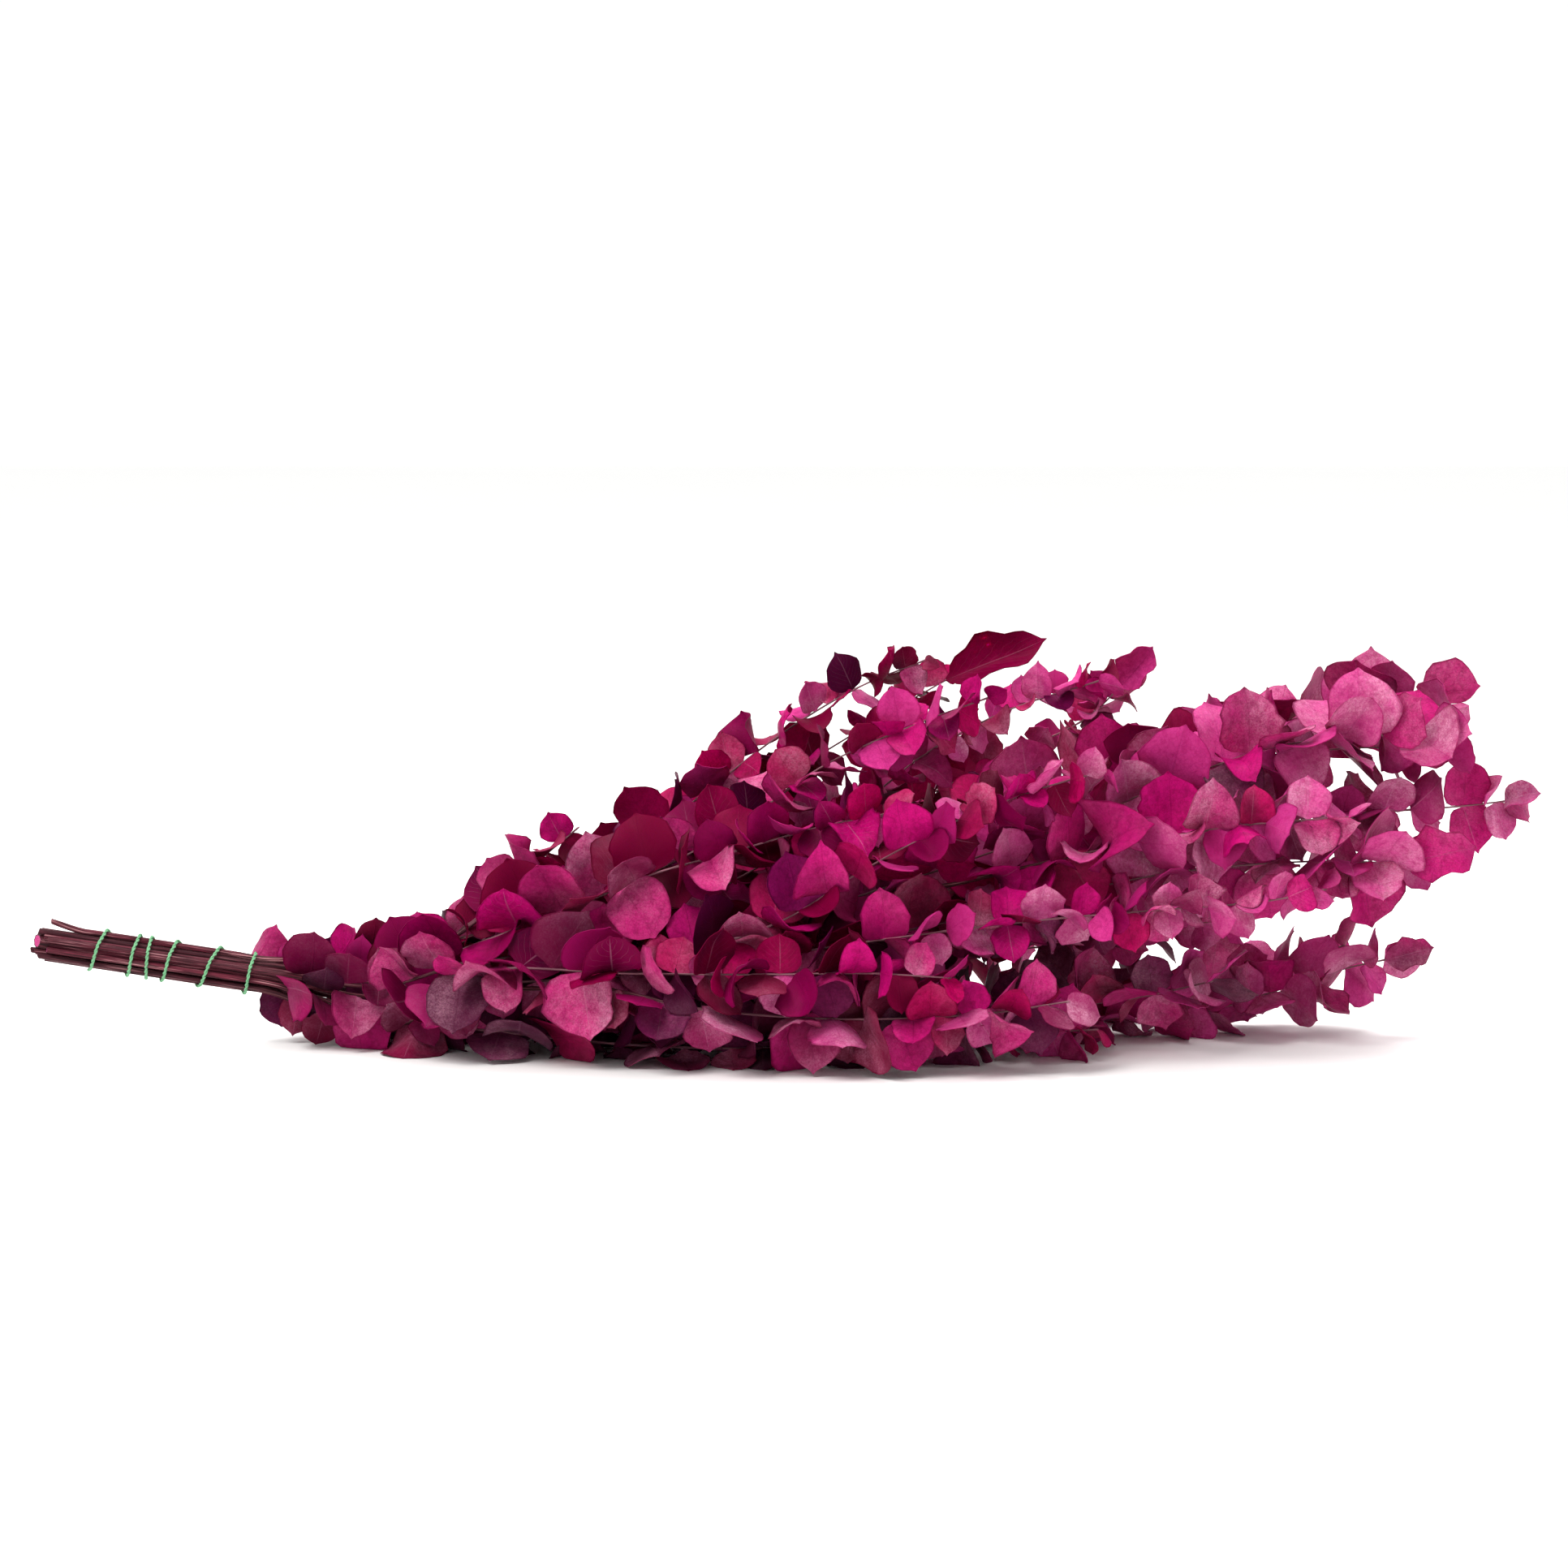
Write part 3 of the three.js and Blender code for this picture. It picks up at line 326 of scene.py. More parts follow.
def smooth_line(points):
    """A centripetal Catmull-Rom line through the points."""
    points = [vec(*p) for p in points]
    ends = 2 * points[0] - points[1], 2 * points[-1] - points[-2]
    every = [ends[0], *points, ends[1]]
    line = [points[0]]
    for p0, p1, p2, p3 in zip(every, every[1:], every[2:], every[3:]):
        t1 = math.sqrt(np.linalg.norm(p1 - p0))
        t2 = t1 + math.sqrt(np.linalg.norm(p2 - p1))
        t3 = t2 + math.sqrt(np.linalg.norm(p3 - p2))

        def mix(a, b, ta, tb, t):
            return a + (b - a) * ((t - ta) / (tb - ta))

        for k in range(1, LINE_STEPS + 1):
            t = t1 + (t2 - t1) * k / LINE_STEPS
            a1 = mix(p0, p1, 0, t1, t)
            a2 = mix(p1, p2, t1, t2, t)
            a3 = mix(p2, p3, t2, t3, t)
            line.append(mix(mix(a1, a2, 0, t2, t), mix(a2, a3, t1, t3, t), t1, t2, t))
    return np.array(line)


class Route:
    """A line with the distance along it."""

    def __init__(self, line):
        self.line = line
        self.steps = np.linalg.norm(np.diff(line, axis=0), axis=1)
        self.reached = np.concatenate([[0], np.cumsum(self.steps)])
        self.length = self.reached[-1]

    def at(self, distance):
        """The point and the direction at a distance."""
        i = min(max(int(np.searchsorted(self.reached, distance)) - 1, 0), len(self.steps) - 1)
        tangent = (self.line[i + 1] - self.line[i]) / self.steps[i]
        return self.line[i] + tangent * (distance - self.reached[i]), tangent

    def at_x(self, x):
        """The distance where X first reaches a value."""
        for i in range(len(self.steps)):
            a, b = self.line[i], self.line[i + 1]
            if b[0] >= x:
                return self.reached[i] + self.steps[i] * (x - a[0]) / (b[0] - a[0])
        return self.length


# ---- The tie ----
def tie_centre(x):
    return vec(x, 0, TIE_HEIGHT - TIE_FALL * x)


def slot_offset(slot):
    if slot < 0:
        return vec(0, 0, 0)
    step = 2 * math.pi / INNER_RING
    inner = THICK_STEM + STEM_GAP + THIN_STEM
    touch = 2 * THIN_STEM + STEM_GAP
    half = inner * math.cos(step / 2)
    outer = half + math.sqrt(touch**2 - (inner * math.sin(step / 2)) ** 2)
    first = slot < INNER_RING
    radius, angle = (inner if first else outer), (slot + (0 if first else 0.5)) * step
    return vec(0, radius * math.cos(angle), radius * math.sin(angle))


def stem_radius(stem):
    return THICK_STEM if stem["slot"] < 0 else THIN_STEM


def stem_line(stem):
    offset = slot_offset(stem["slot"])
    held = [TIED_LENGTH / 2, TIED_LENGTH * STRAIGHT_SHARE, TIED_LENGTH]
    if "lift" in stem:
        held = LIFTED + held
    tied = [tie_centre(x) + offset for x in [stem["butt"], *held]]
    tied[0][2] += stem.get("lift", 0)
    spread = tie_centre(SPREAD_X) + offset * SPREAD
    return smooth_line([*tied, spread, *stem["route"]])


# ---- Shoots: a stretch of stem with leaves of its own ----
class Shoot:
    def __init__(self, facts, line, stem, number, full, thins_from):
        self.facts, self.stem, self.number, self.full = facts, stem, number, full
        self.route = Route(line)
        self.thins = self.route.at_x(thins_from)
        self.stations = self.leaf_stations()
        self.phase = (draws(number)() * 2 - 1) * PHASE
        if "last" in facts:
            self.phase = FRONT - (len(self.stations) - 1) % 2 * 90

    def radius(self, at):
        share = min(1, max(0, (at - self.thins) / (self.route.length - self.thins)))
        return STEM_TIP + (self.full - STEM_TIP) * (1 - share) ** 2

    def leaf_stations(self):
        total = self.route.length
        first = at = self.route.at_x(self.facts["leafy"])
        stations = []
        while at < total - LEAF_PITCH / LAST_PITCH:
            share = (at - first) / (total - first)
            stations.append((at, share))
            at += LEAF_PITCH * (1 + (TIP_PITCH - 1) * share)
        return stations + [(total - ROOT_HALF, 1)]

    def growth(self, index, side):
        return self.phase + (index % 2) * 90 + side * 180


def shoots_of(index):
    stem = STEMS[index]
    main = Shoot(stem, stem_line(stem), index, index * 4, stem_radius(stem), TIED_LENGTH)
    shoots = [main]
    for k, facts in enumerate(stem.get("shoots", [])):
        start, _ = main.route.at(main.stations[facts["past"]][0] + BRANCH_PAST_PAIR)
        route = [start, *facts["route"]]
        number = index * 4 + k + 1
        shoots.append(Shoot(facts, smooth_line(route), index, number, BRANCH, route[1][0]))
    return shoots


# ---- How a leaf hangs ----
def frame_of(tangent):
    level = unit(np.cross(UP, tangent))
    return level, np.cross(tangent, level)


def out_of(frame, angle):
    a = math.radians(angle)
    return frame[0] * math.cos(a) + frame[1] * math.sin(a)


def size_at(share, tip):
    swell = SIZE["swell"] * math.sin(math.pi * min(1, share * SIZE["waves"]))
    return SIZE["root"] + swell - (SIZE["root"] - tip) * share**3


class Leaf:
    """One way to hang a leaf at a place along its shoot. It holds what the frame's leaf has."""

    def __init__(self, shoot, place, growth, keys, attempt, shown=False, size=1.0, facing=0.0,
                 aside=0.0):
        following = draws(*keys, attempt)
        wide = 1 + attempt * RETRY["wider"]

        def jitter(amount):
            return (following() * 2 - 1) * amount

        at, share = place
        self.shoot, self.keys = shoot, keys
        self.point, tangent = shoot.route.at(at)
        frame = frame_of(tangent)
        axis = vec(self.point[0], 0, BUNCH_AXIS["height"] + BUNCH_AXIS["rise"] * self.point[0])
        outward = vec(0, -1, 0) if shown else self.point - axis
        if aside:
            outward = unit(outward) + vec(0, aside if self.point[1] > MIDDLE_Y else -aside, 0)
        outward = unit(outward - tangent * (outward @ tangent))
        radial = out_of(frame, growth + jitter(STRAY["turn"] * wide))
        faces = MOST_SHOWN if shown else facing + (1 - facing) * following()
        least = OPEN["shown"] if shown else OPEN["tip"]
        least = least if share == 1 else OPEN["least"] + OPEN["more"] * faces
        opening = math.radians(least + jitter(STRAY["open"] * wide))
        self.forward = tangent * math.cos(opening) + radial * math.sin(opening)
        normal = tangent * math.sin(opening) - radial * math.cos(opening)
        normal = normal * (1 - faces) + outward * (faces + LEAST_OUTWARD)
        normal = normal + out_of(frame, 360 * following()) * STRAY["face"] * wide
        self.normal = unit(normal - self.forward * (normal @ self.forward))
        self.leftward = np.cross(self.normal, self.forward)
        largest = shoot.facts["last"] if shown else (
            shoot.facts["leaf"] * size * size_at(share, shoot.facts.get("tip", SIZE["tip"])))
        shrunk = max(RETRY["smallest"], 1 - attempt * RETRY["smaller"])
        self.length = largest * shrunk * (1 + jitter(STRAY["length"]))
        slim = shoot.facts.get("slim", 1) * (TIP_SLIM if share == 1 else 1)
        if shown:
            slim = shoot.facts.get("last_slim", slim)
        self.shown = shown
        self.half = self.length * ROUND_LEAF * slim * (1 + jitter(STRAY["width"]))
        self.curl = jitter(BEND["curl"])
        self.cup = BEND["least_cup"] + jitter(BEND["cup"])
        self.twist = jitter(BEND["twist"])
        self.start = shoot.radius(at)
        self.away = out_of(frame, growth)
        self.flat = False
        self.fits = self.rest_on_surface()

    def lift(self, u, v):
        return self.curl * u * u + self.cup * v * v + self.twist * u * v

    def place(self, u, v, more=0.0):
        """The point at a share of the length and of the half width."""
        u, v = np.asarray(u, float)[..., None], np.asarray(v, float)[..., None]
        rise = self.lift(u, v) + np.asarray(more, float)[..., None]
        return (self.point + self.forward * (u * self.length) + self.leftward * (v * self.half)
                + self.normal * (rise * self.length))

    def rest_on_surface(self):
        low = BLADE / 2
        self.corners = self.place(*np.array(CORNERS).T)
        z = self.corners[:, 2]
        if z.min() < low - DEEPEST_PRESS:
            return False
        self.flat = (z <= low).sum() >= PRESSED_CORNERS and z.max() < low + DEEPEST_PRESS
        self.corners[:, 2] = low if self.flat else np.maximum(z, low)
        rise = self.start + BLADE
        if min((self.corners[k] - self.point) @ self.away for k in (0, 4)) < rise:
            return False
        self.tip_normal = UP if self.flat else self.normal
        return True


def leaf_like_the_frames(shoot, index, side, vertices):
    """The first way to hang this leaf whose tip is a vertex of the frame, or none."""
    place = shoot.stations[index]
    shown = place[1] == 1 and side == 0 and "last" in shoot.facts
    for attempt in range(ATTEMPTS):
        keys = (shoot.number, index, side)
        leaf = Leaf(shoot, place, shoot.growth(index, side), keys, attempt, shown)
        if not leaf.fits:
            continue
        ends = [leaf.corners[2] + leaf.tip_normal * (BLADE / 2 * s) for s in (1, -1)]
        if all(vertices.find(Vector(end))[2] < MATCH for end in ends):
            return leaf
    return None


# ---- A finished leaf: its outline, waves and folds ----
def even_outline(points):
    """A smooth line through half an outline, as ROWS points, closer together at the tip."""
    p = np.array(points, float)
    padded = np.vstack([2 * p[0] - p[1], p, 2 * p[-1] - p[-2]])
    line = []
    for t in np.linspace(0, len(p) - 1, OUTLINE_STEPS):
        i = min(int(t), len(p) - 2)
        f = t - i
        a, b, c, d = padded[i:i + 4]
        line.append(0.5 * (2 * b + (c - a) * f + (2 * a - 5 * b + 4 * c - d) * f**2
                           + (3 * b - a - 3 * c + d) * f**3))
    line = np.array(line)
    steps = np.linalg.norm(np.diff(line * (1, ROUND_LEAF), axis=0), axis=1)
    reached = np.concatenate([[0], np.cumsum(steps)])
    shares = np.linspace(0, 1, ROWS)
    shares = shares * (1 - TIP_ROWS) + np.sin(shares * math.pi / 2) * TIP_ROWS
    return np.stack([np.interp(shares * reached[-1], reached, line[:, k]) for k in (0, 1)], -1)


POINTED_HALF, ROUND_HALF = even_outline(POINTED), even_outline(ROUND)
MIDRIB = (ROUND_HALF[:, 0] + np.linspace(0, 1, ROWS)) / 2  # shares of the length along the middle
GRID_T = np.tile(np.array(ACROSS), (ROWS, 1))
GRID_MID = np.tile(MIDRIB[:, None], (1, len(ACROSS)))
POINTED_GRID, ROUND_GRID = (
    (GRID_MID + (half[:, :1] - GRID_MID) * np.abs(GRID_T), half[:, 1:] * GRID_T)
    for half in (POINTED_HALF, ROUND_HALF))


def drawn(ranges, following):
    """A number drawn between two, or a list of such for a row of pairs."""
    if isinstance(ranges[0], tuple):
        return [drawn(one, following) for one in ranges]
    low, high = ranges
    return low + (high - low) * following()


def leaf_look(leaf):
    """What sets one leaf apart from the next."""
    if leaf.shown:
        return SHOWN_LOOK
    following = draws(*leaf.keys, LOOK_DRAWS)
    curled = following() < CURLED_SHARE
    look = {name: drawn(ranges, following) for name, ranges in LEAF_LOOK.items()}
    look["slim"] = 1.0
    look["roll_side"] = 1 if look["roll_side"] < 0.5 else -1
    if curled:
        look["fold"] += CURLED_FOLD
        for name, times in CURLED.items():
            look[name] *= times
    return look


def leaf_grid(leaf, lively):
    """The points of a leaf's middle surface, ROWS by COLUMNS."""
    look = leaf.look
    start = ROOT_IN * leaf.start / leaf.length
    grid_u, grid_v = (pointed * look["pointed"] + round_ * (1 - look["pointed"])
                      for pointed, round_ in zip(POINTED_GRID, ROUND_GRID))
    outline = grid_u + look["widest"] * grid_u * (1 - grid_u)
    lobes = np.sin(np.pi * np.clip(GRID_MID / LOBE_END, 0, 1))
    outline = outline - look["lobes"] * GRID_T**2 * lobes
    u = start + (1 - start) * outline
    uneven = 0
    for pitch, phase, depth in (look["edge"], look["nicks"]):
        uneven += depth * np.sin(pitch * FULL_TURN * grid_u + phase + EDGE_LEAN * GRID_T)
    uneven = uneven * np.sin(np.pi * GRID_MID) * GRID_T**2
    v = grid_v * look["slim"] * (1 + uneven + look["skew"] * GRID_T)
    more = rise_of(look, u, v)
    if leaf.flat:
        return flat_grid(leaf, u, v, more, lively)
    grid = leaf.place(u, v, more * lively)
    grid += leaf.leftward * (look["sickle"] * lively * u[..., None] ** 2 * leaf.length)
    low = THICKNESS / 2 + SOFT_GAP
    rise = np.clip((grid[..., 2] - low) / SOFT_OVER, -MOST_RISE, MOST_RISE)
    pressed = low + SOFT_OVER * np.log1p(np.exp(rise))
    grid[..., 2] = np.where(rise < FREE_RISE, pressed, grid[..., 2])
    return grid


def rise_of(look, u, v):
    """How far a leaf's fold, waves, curls and dents lift it, against its length."""
    ripple = np.sin(look["waves"] * FULL_TURN * u + np.where(v >= 0, *look["phases"]))
    along = np.sin(np.pi * np.clip(u * FOLD_REACH, 0, 1))
    more = look["fold"] * (np.sqrt(v * v + FOLD_ROUND) - FOLD_LEVEL) * along
    more += look["wave"] * np.abs(v) ** WAVE_POWER * ripple
    more += look["tip_curl"] * np.clip(u - TIP_CURL_FROM, 0, 1) ** 2 * TIP_CURL_GAIN
    more += look["roll"] * np.clip(v * look["roll_side"] - ROLL_FROM, 0, 1) ** 2
    for at_u, at_v, depth in look["dents"]:
        apart = (u - at_u) ** 2 + (v * DENT_SLIM - at_v * DENT_SLIM) ** 2
        more += depth * np.exp(-apart / DENT_AREA)
    return more


def flat_grid(leaf, u, v, more, lively):
    """A leaf that lies on the surface, but for its root and what curls up."""
    grid = (leaf.point + leaf.forward * (u[..., None] * leaf.length)
            + leaf.leftward * (v[..., None] * leaf.half))
    lift = np.clip(more, 0, 1) * leaf.length * FLAT_LIFT * lively
    near = np.clip(1 - u / FLAT_ROOT, 0, 1) ** FLAT_POWER
    low = THICKNESS / 2 + FLAT_GAP
    grid[..., 2] = low + lift + near * np.maximum(grid[..., 2] - low - lift, 0)
    return grid


def grid_faces(rows, columns, start=0, flipped=False):
    faces = []
    for r in range(rows - 1):
        for c in range(columns - 1):
            a = start + r * columns + c
            quad = (a, a + 1, a + 1 + columns, a + columns)
            faces.append(quad[::-1] if flipped else quad)
    return faces


def rim_faces():
    edge = [(r, 0) for r in range(ROWS)]
    edge += [(ROWS - 1, c) for c in range(1, COLUMNS)]
    edge += [(r, COLUMNS - 1) for r in range(ROWS - 2, -1, -1)]
    edge += [(0, c) for c in range(COLUMNS - 2, 0, -1)]
    loop = [r * COLUMNS + c for r, c in edge]
    return [(a, b, b + COUNT, a + COUNT) for a, b in zip(loop, loop[1:] + loop[:1])]


LEAF_FACES = grid_faces(ROWS, COLUMNS, 0, True) + grid_faces(ROWS, COLUMNS, COUNT) + rim_faces()


def grid_normals(grid):
    along = np.gradient(grid, axis=0)
    across = np.gradient(grid, axis=1)
    normal = np.cross(along, across)
    return normal / np.maximum(np.linalg.norm(normal, axis=2, keepdims=True), 1e-9)


def leaf_points(leaf):
    """The vertices of a finished leaf: its upper face, then its lower one."""
    grid = leaf.grid
    normal = grid_normals(grid)
    half = 0.5 * THICKNESS * (1 - RIM_THINNER * np.abs(GRID_T) ** RIM_POWER)[..., None]
    rib = RIB * np.exp(-(GRID_T / RIB_WIDTH) ** 2)[..., None] * (1 - GRID_MID)[..., None]
    upper = grid + normal * half
    lower = grid - normal * (half + rib)
    points = np.vstack([upper.reshape(-1, 3), lower.reshape(-1, 3)])
    points[:, 2] = np.maximum(points[:, 2], LOWEST)
    return points


# ---- Keeping leaves clear of each other and of the stems ----
class Obstacle:
    def __init__(self, points, faces, owner):
        self.tree = BVHTree.FromPolygons([Vector(p) for p in points], faces)
        self.low, self.high = points.min(0), points.max(0)
        self.owner = owner


class Obstacles:
    def __init__(self):
        self.every = []
        self.lows = np.empty((0, 3))
        self.highs = np.empty((0, 3))

    def add(self, one):
        self.every.append(one)
        self.lows = np.vstack([self.lows, one.low])
        self.highs = np.vstack([self.highs, one.high])

    def near(self, low, high):
        hit = ((self.lows < high + TOUCH) & (self.highs > low - TOUCH)).all(1)
        return [self.every[i] for i in np.flatnonzero(hit)]


COARSE_FACES = grid_faces(len(COARSE_ROWS), len(COARSE_COLUMNS))
FREE_ROWS = [r for r in COARSE_ROWS if MIDRIB[r] > NEAR_ROOT]
FREE_FACES = grid_faces(len(FREE_ROWS), len(COARSE_COLUMNS))


def coarse(grid, rows):
    return grid[np.ix_(rows, COARSE_COLUMNS)].reshape(-1, 3)


def is_clear(grid, owner, obstacles):
    """Whether a leaf's coarse middle surface is clear. Its rim and thickness aren't tested."""
    whole, free = coarse(grid, COARSE_ROWS), coarse(grid, FREE_ROWS)
    around = obstacles.near(whole.min(0), whole.max(0))
    if not around:
        return True
    bodies = {False: (whole, COARSE_FACES), True: (free, FREE_FACES)}
    trees = {}
    for other in around:
        own = other.owner == owner
        if own not in trees:
            points, faces = bodies[own]
            vectors = [Vector(p) for p in points]
            trees[own] = (vectors, BVHTree.FromPolygons(vectors, faces))
        vectors, tree = trees[own]
        if tree.overlap(other.tree):
            return False
        if any(other.tree.find_nearest(p, TOUCH)[0] is not None for p in vectors):
            return False
    return True


def add_leaf(leaf, grid, obstacles):
    leaf.grid = grid
    obstacles.add(Obstacle(coarse(grid, COARSE_ROWS), COARSE_FACES, ("leaf", *leaf.keys)))


# ---- Stems ----
def ring_faces(count, sides):
    """The faces between rings of points that follow each other."""
    pairs = [(r * sides + k, r * sides + (k + 1) % sides)
             for r in range(count - 1) for k in range(sides)]
    return [(a, b, b + sides, a + sides) for a, b in pairs]


def tube(points, radii, sides):
    """Rings of points round a line, with the radii that each has in turn, and their faces."""
    rings = []
    for i, (point, radius) in enumerate(zip(points, radii)):
        before, after = points[max(i - 1, 0)], points[min(i + 1, len(points) - 1)]
        frame = frame_of(unit(after - before))
        for k in range(sides):
            rings.append(point + out_of(frame, 360 * k / sides) * radius[k % len(radius)])
    return np.array(rings), ring_faces(len(points), sides)


def stem_obstacle(shoot):
    stops = np.linspace(0, shoot.route.length, int(shoot.route.length / OBSTACLE_RING) + 2)
    points = [shoot.route.at(at)[0] for at in stops]
    rings, faces = tube(points, [[shoot.radius(at)] for at in stops], OBSTACLE_SIDES)
    return Obstacle(rings, faces, ("stem", shoot.stem))


# ---- Growing the leaves ----
def leaves_of_the_frame(shoots):
    """The leaves of the frame's nodes, as far as they are found again by their tips."""
    found = []
    for index in range(len(STEMS)):
        vertices = frame["nodes"][node_name(index)].data.vertices
        tree = KDTree(len(vertices))
        for i, vertex in enumerate(vertices):
            tree.insert(vertex.co / MM + Vector(FOOTPRINT_CENTRE), i)
        tree.balance()
        for shoot in [shoot for shoot in shoots if shoot.stem == index]:
            for pair in range(len(shoot.stations)):
                for side in (0, 1):
                    leaf = leaf_like_the_frames(shoot, pair, side, tree)
                    if leaf:
                        found.append(leaf)
    return found


def hang_as_it_is(leaf, obstacles):
    """Gives a leaf of the frame as much of its own waves as its neighbours leave room for. Where
    it isn't clear of them without any either, it hangs all the same."""
    leaf.look = leaf_look(leaf)
    for lively in LIVELY:
        grid = leaf_grid(leaf, lively)
        if is_clear(grid, ("stem", leaf.shoot.stem), obstacles):
            break
    add_leaf(leaf, grid, obstacles)


def places_before(shoot):
    """Places on the stretch between the tie and a stem's first pair."""
    first = shoot.stations[0][0]
    behind = shoot.route.at(first)[0][1] > 0
    nearest = BEFORE_BACK if behind else BEFORE_FRONT
    places = []
    at = first - BEFORE_PITCH
    while at > 0 and shoot.route.at(at)[0][0] > nearest:
        places.append((at, 0.0))
        at -= BEFORE_PITCH
    return places


def extra_places(shoot, pairs_taken):
    """Where a shoot has room for more leaves: between its pairs, before its first one and where
    the frame left one out."""
    places = []
    for turn, (share, angle, size) in enumerate(EXTRAS):
        for pair, (place, beyond) in enumerate(zip(shoot.stations, shoot.stations[1:])):
            middle = tuple(a + (b - a) * share for a, b in zip(place, beyond))
            for side in (0, 1):
                keys = (EXTRA_KEY + TURN_KEYS * turn + pair, side)
                places.append((middle, shoot.growth(pair, side) + angle, keys, size))
    for pair, place in enumerate(shoot.stations):
        for side in (0, 1):
            if (pair, side) not in pairs_taken:
                keys = (EMPTY_KEY + pair, side)
                places.append((place, shoot.growth(pair, side), keys, SMALLER_SIZE))
    for pair, place in enumerate(places_before(shoot)):
        for side in (0, 1):
            keys = (BEFORE_KEY + pair, side)
            places.append((place, shoot.growth(pair, side) + BEFORE_TURN, keys, BEFORE_SIZE))
    return places


def hang_extra(shoot, place, growth, keys, size, obstacles):
    """Tries ways to hang one more leaf until it is clear of all that is there."""
    for attempt in range(EXTRA_ATTEMPTS):
        keys_of_leaf = (shoot.number, *keys)
        leaf = Leaf(shoot, place, growth, keys_of_leaf, attempt, size=size, facing=EXTRA_FACING,
                    aside=ASIDE)
        if not leaf.fits:
            continue
        leaf.look = leaf_look(leaf)
        grid = leaf_grid(leaf, 1.0)
        if not inside_box(grid) or in_a_gap(grid):
            continue
        if is_clear(grid, ("stem", shoot.stem), obstacles):
            add_leaf(leaf, grid, obstacles)
            return leaf
    return None


def inside_box(grid):
    low, high = (np.array(corner) / MM + FOOTPRINT_CENTRE for corner in cad_box)
    return (grid.min(axis=(0, 1)) > low).all() and (grid.max(axis=(0, 1)) < high).all()


def in_a_gap(grid):
    x, z = grid[..., 0], grid[..., 2]
    return any(((x > a) & (x < b) & (z > c) & (z < d)).any() for a, b, c, d in GAPS)


def grow_leaves(shoots):
    obstacles = Obstacles()
    for shoot in shoots:
        obstacles.add(stem_obstacle(shoot))
    leaves = leaves_of_the_frame(shoots)
    for leaf in leaves:
        hang_as_it_is(leaf, obstacles)
    taken = {}
    for leaf in leaves:
        taken.setdefault(leaf.shoot.number, set()).add(leaf.keys[1:])
    for shoot in shoots:
        for place, growth, keys, size in extra_places(shoot, taken.get(shoot.number, set())):
            leaf = hang_extra(shoot, place, growth, keys, size, obstacles)
            if leaf:
                leaves.append(leaf)
    return leaves


# ---- Meshes ----
class Body:
    """Vertices, faces and what the materials read, gathered for one piece."""

    def __init__(self):
        self.points, self.faces, self.kinds = [], [], []
        self.uv, self.look = [], []
        self.count = 0

    def add(self, points, faces, kind, uv, look):
        self.points.append(points)
        self.faces += [tuple(i + self.count for i in face) for face in faces]
        self.kinds += [kind] * len(faces)
        self.uv.append(uv)
        self.look.append(look)
        self.count += len(points)

    def piece(self, name, materials):
        points = (np.vstack(self.points) - FOOTPRINT_CENTRE) * MM
        mesh = bpy.data.meshes.new(name)
        mesh.from_pydata(points.tolist(), [], self.faces)
        mesh.polygons.foreach_set("material_index", self.kinds)
        mesh.polygons.foreach_set("use_smooth", [True] * len(self.faces))
        for material in materials:
            mesh.materials.append(material)
        corners = np.empty(len(mesh.loops), np.int32)
        mesh.loops.foreach_get("vertex_index", corners)
        layer = mesh.uv_layers.new(name="Surface")
        layer.data.foreach_set("uv", np.vstack(self.uv)[corners].astype(np.float32).ravel())
        look = mesh.attributes.new("look", "FLOAT_COLOR", "POINT")
        look.data.foreach_set("color", np.vstack(self.look).astype(np.float32).ravel())
        mesh.validate()
        mesh.update()
        piece = bpy.data.objects.new(name, mesh)
        bpy.context.scene.collection.objects.link(piece)
        return piece


KINDS = list(FOLIAGE)
BARK, WOOD = len(KINDS), len(KINDS) + 1
LEAF_UV = np.tile(np.stack([GRID_MID, GRID_T * 0.5 + 0.5], -1).reshape(-1, 2), (2, 1))
LEAF_SIDE = np.repeat([1.0, 0.0], COUNT)


def leaf_region(leaf):
    """How far along, how near the tie, how low and how high a leaf is, each from 0 to 1."""
    middle = leaf.grid.mean(axis=(0, 1))
    far = float(np.clip((middle[0] - FAR_FROM) / FAR_OVER, 0, 1))
    near = float(np.clip((NEAR_BELOW - middle[0]) / NEAR_OVER, 0, 1))
    low = float(np.clip((LOW_BELOW - middle[2]) / LOW_OVER, 0, 1))
    high = float(np.clip((middle[2] - HIGH_FROM) / HIGH_OVER, 0, 1)) * (1 - far)
    return far, near, low, high


def leaf_tones(leaf):
    """Tone, dust and patch of one leaf. Low and far leaves are dustier, far ones lighter too, and
    low ones and those near the tie darker: partly their own colour, partly painted light and
    painted shade.
    """
    following = draws(*leaf.keys, TONE_DRAWS)
    far, near, low, high = leaf_region(leaf)
    tone = TONE["drawn"] * following() + TONE["far"] * far - TONE["near"] * near
    tone = tone - TONE["low"] * low * (1 - far)
    dust = following() ** DUST["power"] * (DUST["least"] + DUST["tone"] * tone)
    dust = dust + DUST["far"] * far
    dust += DUST["low"] * low * (1 - DUST["low_far"] * far) - DUST["high"] * high
    return np.clip([tone, dust, following()], 0, 1)


def leaf_kind(leaf, own):
    """The kind of foliage colour that one leaf has: most often its stem's own."""
    far, _, low, high = leaf_region(leaf)
    weights = {"foliage_magenta": MAGENTA,
               "foliage_crimson": CRIMSON * (1 - far) + CRIMSON_HIGH * high,
               "foliage_pink": PINK + PINK_FAR * far,
               "foliage_plum": (PLUM + PLUM_LOW * low) * (1 - far)}
    weights[own] += OWN_KIND * (1 - far)
    left = draws(*leaf.keys, KIND_DRAWS)() * sum(weights.values())
    for number, kind in enumerate(KINDS):
        left -= weights[kind]
        if left <= 0:
            break
    return number


